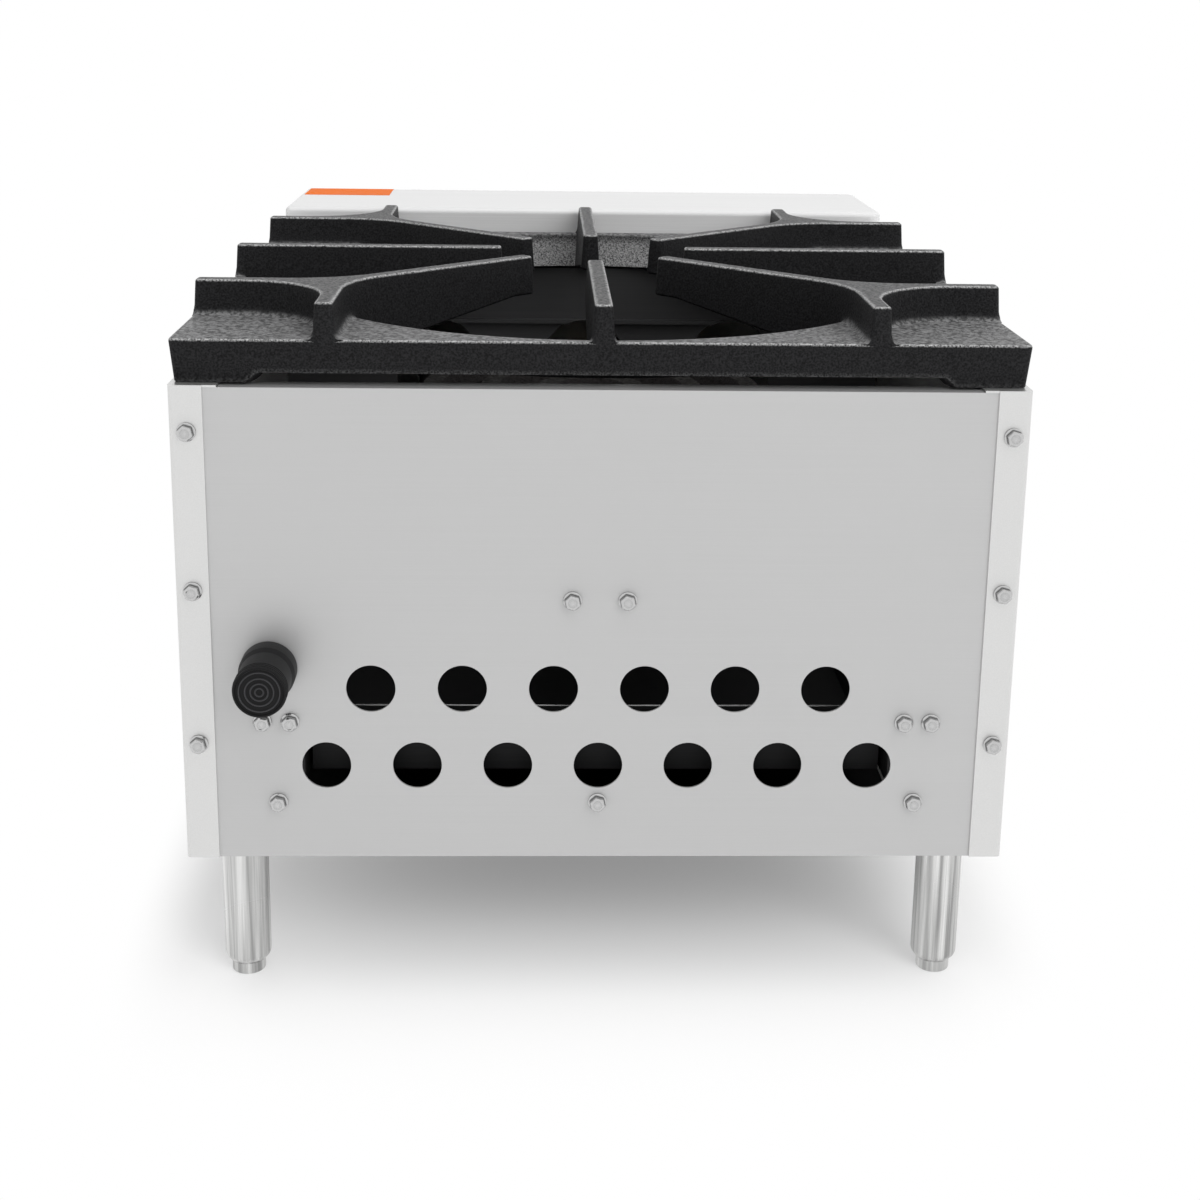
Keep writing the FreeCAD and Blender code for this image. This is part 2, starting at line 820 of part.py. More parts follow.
def burner_bracket():
    """The rear bracket: a plate bolted to the rear panel and a channel that runs forward."""
    body = new_body("burner_bracket")
    tongue_top = cradle_bottom_z - base_z
    place(body, z=base_z)
    half = d.bracket_width / 2
    bottom = d.bracket_bolt_level - d.bracket_margin
    block(body, (-half, rear_inner_y - d.gauge, bottom), (half, rear_inner_y, tongue_top))
    reach_y = grate_y + d.cradle_offset - d.cradle_width / 2
    block(body, (-half, reach_y, tongue_top - d.gauge), (half, rear_inner_y - d.gauge / 2, tongue_top))
    for side in (-1, 1):
        block(body, (side * half, reach_y, tongue_top - d.bracket_side),
              (side * (half - d.gauge), rear_inner_y - d.gauge / 2, tongue_top - d.gauge / 2))
    return body


def burner_cradle():
    """The flat bar across the bracket that the three rings rest on."""
    body = new_body("burner_cradle")
    place(body, y=grate_y, z=cradle_bottom_z)
    reach = d.outer_ring_radius + d.ring_width / 2
    block(body, (-reach, d.cradle_offset - d.cradle_width / 2, 0),
          (reach, d.cradle_offset + d.cradle_width / 2, d.cradle_height))
    return body


def ring_body(radius):
    """A cast ring about the origin: sloped shoulders and a flat crown."""
    inner = radius - d.ring_width / 2
    outer = radius + d.ring_width / 2
    low = d.ring_top - d.ring_height
    shoulder = low + d.ring_height * 0.6
    crown = d.ring_width / 4
    section = Part.makePolygon([
        Vector(inner, 0, low),
        Vector(outer, 0, low),
        Vector(outer, 0, shoulder),
        Vector(radius + crown, 0, d.ring_top),
        Vector(radius - crown, 0, d.ring_top),
        Vector(inner, 0, shoulder),
        Vector(inner, 0, low),
    ])
    return Part.Face(section).revolve(Vector(), Vector(0, 0, 1), 360)


def bell_mouth(centre_x, mouth):
    """The mixing tube's mouth, as (casting, hollow): a cone behind a windowed plate."""
    start = Vector(centre_x, mouth, d.mixer_level)
    along = Vector(0, 1, 0)
    plate = cylinder(start, d.bell_radius, d.bell_plate, along)
    cone_start = start + Vector(0, d.bell_plate, 0)
    cone = Part.makeCone(d.bell_radius, d.mixer_radius, d.bell_length, cone_start, along)
    wall = d.mixer_radius - d.mixer_throat
    hollow = Part.makeCone(d.bell_radius - wall, d.mixer_throat, d.bell_length, cone_start, along)
    openings = windows(start, d.bell_plate, d.hood_radius + d.fit_gap)
    return plate.fuse(cone), hollow.fuse(openings)


def windows(start, depth, centre_radius):
    """Two upright windows and a centre hole, cut from y of the start point on."""
    opening = cylinder(start, centre_radius, depth, Vector(0, 1, 0))
    half_height = Vector(0, 0, d.window_height / 2)
    for side in (-1, 1):
        middle = side * (d.window_inset + d.window_width / 2)
        corner = start - half_height + Vector(middle - d.window_width / 2, 0, 0)
        opening = opening.fuse(Part.makeBox(d.window_width, depth, d.window_height, corner))
    return opening


def burner_ring(label, radius, mixer_side, landing_x, landing_y):
    """One ring with its mixing tube, which comes up under the ring at the landing point."""
    mixer_x = mixer_side * d.mixer_pitch
    mouth = mouth_y - grate_y
    rail = baffle_y + d.burner_rail_width / 2 - grate_y
    run_start = mouth + d.bell_plate + d.bell_length / 2
    path = [(mixer_x, run_start, d.mixer_level)]
    if abs(landing_x - mixer_x) > d.mixer_radius:
        path.append((mixer_x, rail + d.burner_rail_width, d.mixer_level))
    path.append((landing_x, landing_y, d.mixer_level))
    path.append((landing_x, landing_y, d.ring_top - d.ring_height / 2))
    tube = tube_along(path, d.riser_radius, d.riser_bend)
    bell, hollow = bell_mouth(mixer_x, mouth)
    throat = cylinder((mixer_x, mouth + d.bell_plate + d.bell_length, d.mixer_level),
                      d.mixer_radius, rail + d.burner_rail_width / 2 - mouth - d.bell_length,
                      Vector(0, 1, 0))
    lug_corner = Vector(mixer_x - d.lug_width / 2, rail - d.lug_width / 2,
                        d.mixer_level - d.bell_radius)
    lug = Part.makeBox(d.lug_width, d.lug_width, d.bell_radius, lug_corner)
    casting = ring_body(radius).fuse([tube, bell, throat, lug]).cut(hollow).removeSplitter()
    return shaped(label, casting, y=grate_y, z=base_z)


def burner_rings():
    """The three castings; each tube rises under the front of its own ring."""
    lead = d.ring_width / 2
    outer_y = -math.sqrt(d.outer_ring_radius ** 2 - (d.outer_ring_radius - lead / 3) ** 2)
    burner_ring("burner_outer_ring", d.outer_ring_radius, 1, d.outer_ring_radius - lead / 3, outer_y)
    middle_x = -d.middle_ring_radius * math.sin(math.radians(60))
    middle_y = -d.middle_ring_radius * math.cos(math.radians(60))
    burner_ring("burner_middle_ring", d.middle_ring_radius, -1, middle_x, middle_y)
    burner_ring("burner_inner_ring", d.inner_ring_radius, 0, 0, -d.inner_ring_radius)


def air_shutter(label, side):
    """The disc that turns on the orifice hood to open or close the mixer's windows."""
    start = Vector(side * d.mixer_pitch, mouth_y - d.shutter_gap - d.shutter_gauge, mixer_z)
    disc = cylinder(start, d.shutter_radius, d.shutter_gauge, Vector(0, 1, 0))
    tab = Part.makeBox(d.hood_radius, d.shutter_gauge, d.hood_radius,
                       start + Vector(-d.hood_radius / 2, 0, d.shutter_radius - d.shutter_gauge))
    openings = windows(start, d.shutter_gauge, d.hood_radius + d.running_gap)
    return shaped(label, disc.fuse(tab).cut(openings).removeSplitter())


# ---------------------------------------------------------------------------------------------
# Gas train
# ---------------------------------------------------------------------------------------------
def gas_manifold():
    """The cross pipe behind the control panel, with a flat boss under each valve."""
    start = (-d.manifold_end, manifold_y, manifold_z)
    along = Vector(1, 0, 0)
    pipe = cylinder(start, d.pipe_radius, inlet_x - elbow_reach + d.manifold_end, along)
    valves = [side * d.mixer_pitch for side in MIXER_SIDES.values()]
    half = d.boss_width / 2
    bosses = [
        Part.makeBox(d.boss_width, d.boss_width, d.pipe_radius + d.boss_rise,
                     Vector(x - half, manifold_y - half, manifold_z))
        for x in valves + [d.pilot_offset]
    ]
    return shaped("gas_manifold", pipe.fuse(bosses).removeSplitter())


def manifold_straps():
    """Two upright plates that hang the manifold from the back of the control panel."""
    plates = []
    reach = d.pipe_radius + d.strap_margin
    bottom = base_z + d.panel_bottom + d.gauge
    height = manifold_z + reach - bottom
    for side in (-1, 1):
        x = side * d.strap_offset - d.strap_gauge / 2
        corner = Vector(x, skin_y, bottom)
        plate = Part.makeBox(d.strap_gauge, manifold_y + reach - skin_y, height, corner)
        foot = Part.makeBox(d.fold_width, d.gauge, height, corner)
        hole = cylinder((x, manifold_y, manifold_z), d.pipe_radius + d.fit_gap, d.strap_gauge,
                        Vector(1, 0, 0))
        plates.append(plate.fuse(foot).cut(hole).removeSplitter())
    return shaped("manifold_straps", Part.makeCompound(plates))


def supply_pipe():
    """The pipe from the elbow to the rear inlet, bored at its open end."""
    start = manifold_y + elbow_reach
    length = rear_panel_y + d.inlet_reach - start
    return turned("supply_pipe", [
        (0, 0),
        (d.pipe_radius, 0),
        (d.pipe_radius, length),
        (d.pipe_bore, length),
        (d.pipe_bore, length - d.pipe_bore_depth),
        (0, length - d.pipe_bore_depth),
    ], inlet_x, start, manifold_z, "+Y")


def supply_elbow():
    """The elbow where the supply pipe turns into the manifold."""
    path = [(-elbow_reach, 0, 0), (0, 0, 0), (0, elbow_reach, 0)]
    elbow = tube_along(path, d.pipe_radius + d.elbow_wall, d.elbow_bend)
    return shaped("supply_elbow", elbow, x=inlet_x, y=manifold_y, z=manifold_z)


def inlet_collar():
    """The hexagon lock nut on the supply pipe, against the inside of the rear panel."""
    along = Vector(0, 1, 0)
    start = Vector(inlet_x, rear_inner_y - d.collar_length, manifold_z)
    nut = hexagon(start, d.collar_radius, along * d.collar_length)
    return shaped("inlet_collar", nut.cut(cylinder(start, d.pipe_radius, d.collar_length, along)))


def inlet_cap():
    """The plastic thread cap pushed over the inlet pipe, closed at its end."""
    bore = d.pipe_radius + d.cap_clearance
    body_radius = bore + d.cap_wall
    length = d.cap_reach + d.gauge - d.fit_gap
    hollow = d.inlet_reach
    return turned("inlet_cap", [
        (bore, 0),
        (d.cap_collar_radius, 0),
        (d.cap_collar_radius, d.cap_collar_height),
        (body_radius, d.cap_collar_height),
        (body_radius, length),
        (0, length),
        (0, hollow),
        (bore, hollow),
    ], inlet_x, rear_panel_y + d.fit_gap, manifold_z, "+Y")


def gas_valve(label, side):
    """A top-burner valve: a square body, its foot down to the manifold, a bore for the stem."""
    x = side * d.mixer_pitch
    front = front_y + d.valve_front
    half = d.valve_width / 2
    body = Part.makeBox(d.valve_width, d.valve_length, d.valve_width,
                        Vector(x - half, front, mixer_z - half))
    foot_half = d.valve_shank_width / 2
    foot = Part.makeBox(d.valve_shank_width, d.valve_shank_width, mixer_z - boss_top_z,
                        Vector(x - foot_half, manifold_y - foot_half, boss_top_z))
    bore = cylinder((x, front, mixer_z), d.stem_radius + d.running_gap, d.stem_depth,
                    Vector(0, 1, 0))
    return shaped(label, body.fuse(foot).cut(bore).removeSplitter())


def orifice_hoods():
    """The brass hoods that jet gas into the mixing tubes, one per valve."""
    start_y = front_y + d.valve_front + d.valve_length
    places = [(side * d.mixer_pitch, start_y, mixer_z) for side in MIXER_SIDES.values()]
    hoods = [cylinder(spot, d.hood_radius, d.hood_length, Vector(0, 1, 0)) for spot in places]
    return shaped("orifice_hoods", Part.makeCompound(hoods))


def valve_stem(label, side):
    """The round stem from inside the valve to the back of the knob."""
    depth = d.valve_front + d.stem_depth - d.fit_gap
    return turned(label, [
        (0, 0),
        (d.stem_radius, 0),
        (d.stem_radius, depth + d.knob_gap),
        (0, depth + d.knob_gap),
    ], side * d.mixer_pitch, front_y + depth, mixer_z, "-Y")


def knob(label, side):
    """A round skirted knob with a straight grip bar across it."""
    body = turned(label, [
        (0, 0),
        (d.knob_radius, 0),
        (d.knob_radius, d.knob_skirt),
        (d.knob_neck_radius, d.knob_body),
        (0, d.knob_body),
    ], side * d.mixer_pitch, front_y - d.knob_gap, mixer_z, "-Y")
    half_grip = d.grip_width / 2
    half_length = d.grip_length / 2
    block(body, (-half_grip, -half_length, d.knob_body / 2),
          (half_grip, half_length, d.knob_reach - d.knob_gap))
    return body


# ---------------------------------------------------------------------------------------------
# Pilot
# ---------------------------------------------------------------------------------------------
pilot_outlet_z = boss_top_z + d.pilot_body_height / 2
pilot_head_y = grate_y - math.sqrt(
    (d.outer_ring_radius + d.ring_width / 2 + d.pilot_ring_gap + d.pilot_head_radius) ** 2
    - d.pilot_offset ** 2
)
pilot_shelf_z = base_z + d.pilot_shelf_level


def pilot_valve():
    """The needle valve on the manifold, with its outlet towards the burner."""
    along = Vector(0, 1, 0)
    spot = (d.pilot_offset, manifold_y, boss_top_z)
    middle = (d.pilot_offset, manifold_y, pilot_outlet_z)
    post = cylinder(spot, d.pilot_body_radius, d.pilot_body_height)
    outlet = cylinder(middle, d.pilot_tube_radius + d.gauge, d.pilot_outlet, along)
    screw_bore = cylinder(middle, d.pilot_screw_radius + d.running_gap, d.pilot_outlet, -along)
    return shaped("pilot_valve", post.fuse(outlet).cut(screw_bore).removeSplitter())


def pilot_screw():
    """The slotted adjusting screw in the front of the pilot valve."""
    start = Vector(d.pilot_offset, manifold_y - d.fit_gap, pilot_outlet_z)
    screw = cylinder(start, d.pilot_screw_radius, d.pilot_screw_length, Vector(0, -1, 0))
    slot = Part.makeBox(d.pilot_screw_radius * 4, d.gauge, d.gauge / 2,
                        start + Vector(-d.pilot_screw_radius * 2, -d.pilot_screw_length, -d.gauge / 4))
    return shaped("pilot_screw", screw.cut(slot))


def pilot_tube():
    """The small tube from the pilot valve, through the baffle, up to the pilot head."""
    path = [
        (d.pilot_offset, manifold_y + d.pilot_outlet, pilot_outlet_z),
        (d.pilot_offset, pilot_head_y, pilot_outlet_z),
        (d.pilot_offset, pilot_head_y, pilot_shelf_z),
    ]
    return shaped("pilot_tube", tube_along(path, d.pilot_tube_radius, d.pilot_bend))


def pilot_head():
    """The pilot burner: a capped post that stands on its bracket."""
    start = (d.pilot_offset, pilot_head_y, pilot_shelf_z)
    post = cylinder(start, d.pilot_head_radius, d.pilot_head_height)
    slot = Part.makeBox(d.pilot_head_radius * 2, d.gauge, d.pilot_head_radius,
                        Vector(start[0] - d.pilot_head_radius, start[1] - d.gauge / 2,
                               start[2] + d.pilot_head_height - d.pilot_head_radius / 2))
    return shaped("pilot_head", post.cut(slot))


def pilot_bracket():
    """A strip from the burner rail up and back to the pilot head."""
    body = new_body("pilot_bracket")
    rail_end = baffle_y + d.gauge + d.burner_rail_width
    half = d.pilot_strip_width / 2
    place(body, x=d.pilot_offset, y=rail_end, z=burner_rail_z)
    rise = pilot_shelf_z - burner_rail_z
    block(body, (-half, -d.pilot_strip_width, 0), (half, 0, d.pilot_strip_gauge))
    block(body, (-half, -d.pilot_strip_gauge, 0), (half, 0, rise))
    shelf_reach = pilot_head_y + d.pilot_head_radius - rail_end
    block(body, (-half, -d.pilot_strip_gauge, rise - d.pilot_strip_gauge), (half, shelf_reach, rise))
    hole = sketch_on(body, "XY_Plane", rise + d.gauge)
    circle(hole, 0, pilot_head_y - rail_end, d.pilot_tube_radius + d.fit_gap)
    cut_through(body, hole, toward=-1)
    return body


# ---------------------------------------------------------------------------------------------
# Legs and feet
# ---------------------------------------------------------------------------------------------
def leg_place(side, end):
    """Where a leg stands: side is -1 or 1, end is -1 at the front and 1 at the rear."""
    y = rear_y - d.leg_end_inset if end > 0 else front_y + d.leg_end_inset
    return side * (half_width - d.leg_side_inset), y


def leg(label, side, end):
    """A round leg, recessed below for its foot."""
    x, y = leg_place(side, end)
    top = base_z - d.foot_show
    mouth = d.foot_radius + d.running_gap
    recess = d.foot_rise + d.fit_gap
    return turned(label, [
        (mouth, 0),
        (d.leg_radius - d.leg_shoulder, 0),
        (d.leg_radius, d.leg_shoulder * 2),
        (d.leg_radius, top),
        (0, top),
        (0, recess),
        (mouth, recess),
    ], x, y, d.foot_show, "+Z")


def leg_foot(label, side, end):
    """The round foot that screws out of the leg to level the range."""
    x, y = leg_place(side, end)
    height = d.foot_show + d.foot_rise
    return turned(label, [
        (0, 0),
        (d.foot_radius, 0),
        (d.foot_radius, height),
        (0, height),
    ], x, y, 0, "+Z")


def leg_nuts():
    """The four hexagon nuts on the bottom flanges that hold the legs."""
    run = Vector(0, 0, d.leg_nut_height)
    places = [leg_place(side, end) for side, end in LEGS.values()]
    nuts = [hexagon(Vector(x, y, base_z + d.gauge), d.leg_nut_radius, run) for x, y in places]
    return shaped("leg_nuts", Part.makeCompound(nuts))


# ---------------------------------------------------------------------------------------------
# Grate
# ---------------------------------------------------------------------------------------------
# The casting is worked out about its own centre, with heights above the casing's bottom.
grate_half = float(grate_span)
opening_corner = float(d.rib_offset - d.opening_corner_gap)
plate_top = float(d.side_height + d.grate_plate_rise)
plate_underside = plate_top - d.grate_plate
pad_bottom = float(d.side_height)
skirt_bottom = plate_top - d.skirt_height
bowl_bottom = plate_top - d.bowl_drop
rib_top = plate_top + d.rib_rise
DIAGONAL = math.sqrt(0.5)


def polygon(points, level):
    """A closed outline of straight edges at one level."""
    corners = [Vector(x, y, level) for x, y in points]
    return Part.makePolygon(corners + corners[:1])


def square(half, level):
    return polygon([(-half, -half), (half, -half), (half, half), (-half, half)], level)


def line(start, end):
    return Part.LineSegment(start, end).toShape()


def arc(start, centre, end):
    """The short arc from start to end about a centre on their own level."""
    radius = (start - centre).Length
    middle = centre + ((start - centre) + (end - centre)).normalize() * radius
    return Part.Arc(start, middle, end).toShape()


def mirrored(point):
    """A point's mirror image in the diagonal plane."""
    return Vector(point.y, point.x, point.z)


def quarter_turns(shape):
    """Four copies of a shape, a quarter turn apart about the upright axis."""
    copies = [shape.copy() for _ in range(4)]
    for number, copy in enumerate(copies):
        copy.rotate(Vector(), Vector(0, 0, 1), 90 * number)
    return copies


def corner_outline(half_rib, end, level):
    """The outline of a corner's two ribs and the finger they sweep into, at +X +Y.

    It runs from one rib's end down its flank and along the finger to the tip, then back along the
    mirror image of that flank, and closes round the web between the two ribs.
    """
    offset = d.rib_offset
    flank = d.flank_radius - half_rib
    bend = Vector(offset - half_rib, offset - half_rib + half_rib / DIAGONAL, level)
    reach = flank * math.tan(math.pi / 8)
    rib_outer = Vector(offset + half_rib, end, level)
    rib_inner = Vector(offset - half_rib, end, level)
    sweep_start = bend + Vector(0, reach, 0)
    sweep_centre = sweep_start - Vector(flank, 0, 0)
    sweep_end = bend - Vector(DIAGONAL, DIAGONAL, 0) * reach
    tip_centre = d.finger_reach * DIAGONAL
    tip = Vector(tip_centre - half_rib * DIAGONAL, tip_centre + half_rib * DIAGONAL, level)
    web_start = Vector(offset + half_rib, offset + d.web_radius, level)
    web_centre = Vector(offset + d.web_radius, offset + d.web_radius, level)
    return Part.Wire([
        line(rib_outer, rib_inner),
        line(rib_inner, sweep_start),
        arc(sweep_start, sweep_centre, sweep_end),
        line(sweep_end, tip),
        line(tip, mirrored(tip)),
        line(mirrored(tip), mirrored(sweep_end)),
        arc(mirrored(sweep_end), mirrored(sweep_centre), mirrored(sweep_start)),
        line(mirrored(sweep_start), mirrored(rib_inner)),
        line(mirrored(rib_inner), mirrored(rib_outer)),
        line(mirrored(rib_outer), mirrored(web_start)),
        arc(mirrored(web_start), web_centre, web_start),
        line(web_start, rib_outer),
    ])


def straight_outline(half_rib, end, level):
    """The outline of a straight side finger, along +Y."""
    tip = d.finger_reach
    return polygon([(-half_rib, tip), (half_rib, tip), (half_rib, end), (-half_rib, end)], level)


def drafted_rib(outline_at):
    """A rib that grows wider and longer downwards by its draft."""
    depth = rib_top - bowl_bottom
    top_half = float(d.rib_top_width / 2)
    top_end = grate_half - d.rib_end_draft
    low_half = top_half + depth * d.rib_draft
    low_end = top_end + depth * d.rib_end_draft / d.rib_rise
    wires = [outline_at(low_half, low_end, bowl_bottom), outline_at(top_half, top_end, rib_top)]
    return Part.makeLoft(wires, True, True)


def opening_outline(inset, level):
    """The frame's opening: four shallow arcs that meet towards the corners."""
    side = grate_half - d.opening_band - inset
    corner = opening_corner - inset * DIAGONAL
    points = [Vector(-corner, corner, level), Vector(0, side, level), Vector(corner, corner, level)]
    arcs = []
    for number in range(4):
        turn = FreeCAD.Rotation(Vector(0, 0, 1), -90 * number)
        arcs.append(Part.Arc(*[turn.multVec(point) for point in points]).toShape())
    return Part.Wire(arcs)


def skirted_plate():
    """The square plate with its drafted skirt, raised off the casing between corner pads."""
    taper = d.skirt_draft / d.skirt_height
    pad_inset = taper * (plate_top - pad_bottom)
    block_out = Part.makeLoft([square(grate_half - pad_inset, pad_bottom),
                               square(grate_half, plate_top)], True, True)
    uprights = [edge for edge in block_out.Edges if edge.BoundBox.ZLength > d.grate_plate]
    block_out = block_out.makeFillet(d.frame_corner_radius, uprights)
    gap = grate_half - d.foot_pad_length
    bar = grate_half * 1.1
    low = polygon([(-gap, -bar), (gap, -bar), (gap, bar), (-gap, bar)], pad_bottom)
    gap -= d.foot_pad_slope
    high = polygon([(-gap, -bar), (gap, -bar), (gap, bar), (-gap, bar)], skirt_bottom)
    between_pads = Part.makeLoft([low, high], True, True)
    room_half = grate_half - d.skirt_wall
    room = Part.makeLoft([square(room_half - pad_inset, pad_bottom),
                          square(room_half, plate_underside)], True, True)
    return block_out.cut(quarter_turns(between_pads)[:2]).cut(room)


def bowl_solid():
    """The bowl's sloping wall as a solid, ending inside the skirt where the two meet."""
    wall = Part.makeLoft([opening_outline(d.bowl_slope - d.bowl_wall, bowl_bottom),
                          opening_outline(-d.bowl_wall, plate_top)], True, True)
    half = grate_half - d.skirt_wall / 2
    limit = Part.makeBox(half * 2, half * 2, d.bowl_drop, Vector(-half, -half, bowl_bottom))
    return wall.common(limit)


def grate():
    """The cast grate: a frame, four straight fingers and four that sweep in from two ribs."""
    bowl = bowl_solid()
    opening = Part.makeLoft([opening_outline(d.bowl_slope, bowl_bottom),
                             opening_outline(0, plate_top)], True, True)
    frame = skirted_plate().fuse(bowl).cut(opening)
    tip_underside = rib_top - d.finger_tip_height
    hollow = Part.makeCone(d.finger_slope_reach, d.finger_reach, tip_underside - bowl_bottom,
                           Vector(0, 0, bowl_bottom))
    above = Part.makeBox(grate_half * 2, grate_half * 2, d.rib_rise,
                         Vector(-grate_half, -grate_half, plate_top))
    ribs = drafted_rib(corner_outline).fuse(drafted_rib(straight_outline))
    ribs = ribs.cut(hollow).common(above.fuse(bowl))
    casting = frame.fuse(quarter_turns(ribs)).removeSplitter()
    return shaped("grate", casting, y=grate_y, z=base_z)


# ---------------------------------------------------------------------------------------------
# Build, check and write
# ---------------------------------------------------------------------------------------------
def build_all():
    side_panel("side_panel_left", -1)
    side_panel("side_panel_right", 1)
    rear_panel()
    rear_panel_bolts()
    control_panel()
    front_lower_rail()
    rear_lower_rail()
    bottom_shield()
    front_ledge()
    blank_label()
    tray_runner("tray_runner_left", -1)
    tray_runner("tray_runner_right", 1)
    drip_tray()
    tray_front()
    tray_pull()
    burner_baffle()
    burner_front_rail()
    burner_bracket()
    burner_cradle()
    burner_rings()
    gas_manifold()
    manifold_straps()
    supply_pipe()
    supply_elbow()
    inlet_collar()
    inlet_cap()
    orifice_hoods()
    for name, side in MIXER_SIDES.items():
        gas_valve(f"gas_valve_{name}", side)
        valve_stem(f"valve_stem_{name}", side)
        knob(f"knob_{name}", side)
        air_shutter(f"air_shutter_{name}", side)
    pilot_valve()
    pilot_screw()
    pilot_tube()
    pilot_head()
    pilot_bracket()
    for name, (side, end) in LEGS.items():
        leg(f"leg_{name}", side, end)
        leg_foot(f"foot_{name}", side, end)
    leg_nuts()
    grate()


def check_and_write():
    """Refuses a failed object or an invalid shape, then writes one file per piece."""
    doc.recompute()
    for item in doc.Objects:
        if {"Invalid", "Error"} & set(item.State):
            raise RuntimeError(f"{item.Label} did not recompute: {item.State}")
    os.makedirs("parts", exist_ok=True)
    for part in subparts:
        if part.Shape.isNull() or not part.Shape.isValid():
            raise RuntimeError(f"{part.Label} has no valid shape")
        part.Shape.exportStep(f"parts/{part.Label}.step")
        box = part.Shape.BoundBox
        print(f"{part.Label}: {len(part.Shape.Solids)} solid(s), {part.Shape.Volume / 1000:.1f} cm3,"
              f" {box.XLength:.1f} x {box.YLength:.1f} x {box.ZLength:.1f}")


build_all()
check_and_write()
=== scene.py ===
# %% [markdown]
# # Dressing a stock pot range
# The range is already modelled as rigid parts: folded sheet, a cast grate, three burner rings,
# pipes, knobs and legs. This lesson loads them as a fixed frame, gives every part a finish, and
# swaps the parts that need softer edges or finer detail for surfaces worked out with numpy.

# %% Load the frame
import math

import bpy
import numpy as np
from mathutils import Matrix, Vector


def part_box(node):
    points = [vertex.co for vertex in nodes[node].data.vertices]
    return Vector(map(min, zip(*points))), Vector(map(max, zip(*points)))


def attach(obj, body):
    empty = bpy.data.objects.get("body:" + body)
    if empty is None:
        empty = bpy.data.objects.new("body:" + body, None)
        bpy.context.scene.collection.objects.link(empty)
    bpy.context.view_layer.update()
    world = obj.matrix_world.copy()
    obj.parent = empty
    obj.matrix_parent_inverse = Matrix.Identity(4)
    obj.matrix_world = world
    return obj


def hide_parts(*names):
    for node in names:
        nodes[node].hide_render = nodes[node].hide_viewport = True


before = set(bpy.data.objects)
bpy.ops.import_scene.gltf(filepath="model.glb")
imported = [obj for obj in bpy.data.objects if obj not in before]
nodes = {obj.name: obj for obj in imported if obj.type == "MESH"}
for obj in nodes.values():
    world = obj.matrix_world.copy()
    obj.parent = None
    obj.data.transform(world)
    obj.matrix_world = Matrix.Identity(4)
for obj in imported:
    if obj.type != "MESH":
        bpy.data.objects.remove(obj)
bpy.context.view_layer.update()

MM = 0.001
TAU = 2 * math.pi


# %% [markdown]
# ## Surfaces from grids
# Every new piece is a grid of points: rows along one parameter, columns along the other. A lathe
# and a stack of loops are both such grids, so one function turns a grid into a mesh. Its columns
# run round, so it joins the last to the first, and it closes each end with one many-sided face.
# A casting's frame comes back to where it began, so there the last row is joined to the first.

# %% Grid to mesh
def grid_faces(rows, columns, ring):
    """Four-sided faces of a grid whose columns run round; a ring's rows run round too."""
    r, c = np.meshgrid(np.arange(rows if ring else rows - 1), np.arange(columns), indexing="ij")
    above, beside = (r + 1) % rows, (c + 1) % columns
    corners = [r * columns + c, r * columns + beside, above * columns + beside, above * columns + c]
    return np.stack(corners, axis=-1).reshape(-1, 4)


def shell_piece(name, shells, material, body, sharp=40):
    """One object from closed shells, each a grid, its edge values and the way it closes.

    A grid is (rows, columns, 3) in metres, and its values go to the "edge" attribute. A shell is a
    "ring" where its rows run round too, and a "capped" one gets a flat face at each end.
    """
    points, faces, edge, first = [], [], [], 0
    for grid, values, kind in shells:
        rows, columns = grid.shape[:2]
        faces += (grid_faces(rows, columns, kind == "ring") + first).tolist()
        if kind != "ring":
            loop = np.arange(columns) + first
            faces += [loop[::-1].tolist(), (loop + (rows - 1) * columns).tolist()]
        points.append(grid.reshape(-1, 3))
        edge.append(np.broadcast_to(values, (rows, columns)).ravel())
        first += rows * columns
    mesh = bpy.data.meshes.new(name)
    mesh.from_pydata(np.concatenate(points).tolist(), [], faces)
    layer = mesh.attributes.new("edge", "FLOAT", "POINT")
    layer.data.foreach_set("value", np.concatenate(edge).astype(np.float32))
    mesh.validate()
    mesh.shade_smooth()
    mesh.set_sharp_from_angle(angle=math.radians(sharp))
    mesh.materials.append(material)
    thing = bpy.data.objects.new(name, mesh)
    bpy.context.scene.collection.objects.link(thing)
    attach(thing, body)
    return thing


print("a capped grid of 3 by 8 points has", len(grid_faces(3, 8, False)) + 2, "faces")


# %% [markdown]
# ## Lathe work
# A turned part is a profile of (radius, height) pairs spun about an axis. Corners on real metal are
# never perfectly sharp, so the profile's corners are rounded first: each becomes a short curve.

# %% Rounded profiles and the lathe
def rounded(profile, radii, steps=4):
    """A profile with each inner corner replaced by a curve close to an arc of its radius.

    It starts and ends where that arc touches the two straight runs, at radius / tan(half the
    angle between them) from the corner, and bends towards the corner as a quadratic curve.
    """
    points = np.array(profile, float)
    out = [points[:1]]
    for before, corner, after, radius in zip(points, points[1:], points[2:], radii):
        back = (before - corner) / np.linalg.norm(before - corner)
        ahead = (after - corner) / np.linalg.norm(after - corner)
        half = math.acos(np.clip(np.dot(back, ahead), -1, 1)) / 2
        reach = radius / math.tan(half)
        blend = np.linspace(0, 1, steps + 1)[:, None]
        start, end = corner + back * reach, corner + ahead * reach
        out.append((1 - blend) ** 2 * start + 2 * blend * (1 - blend) * corner + blend ** 2 * end)
    out.append(points[-1:])
    return np.concatenate(out)


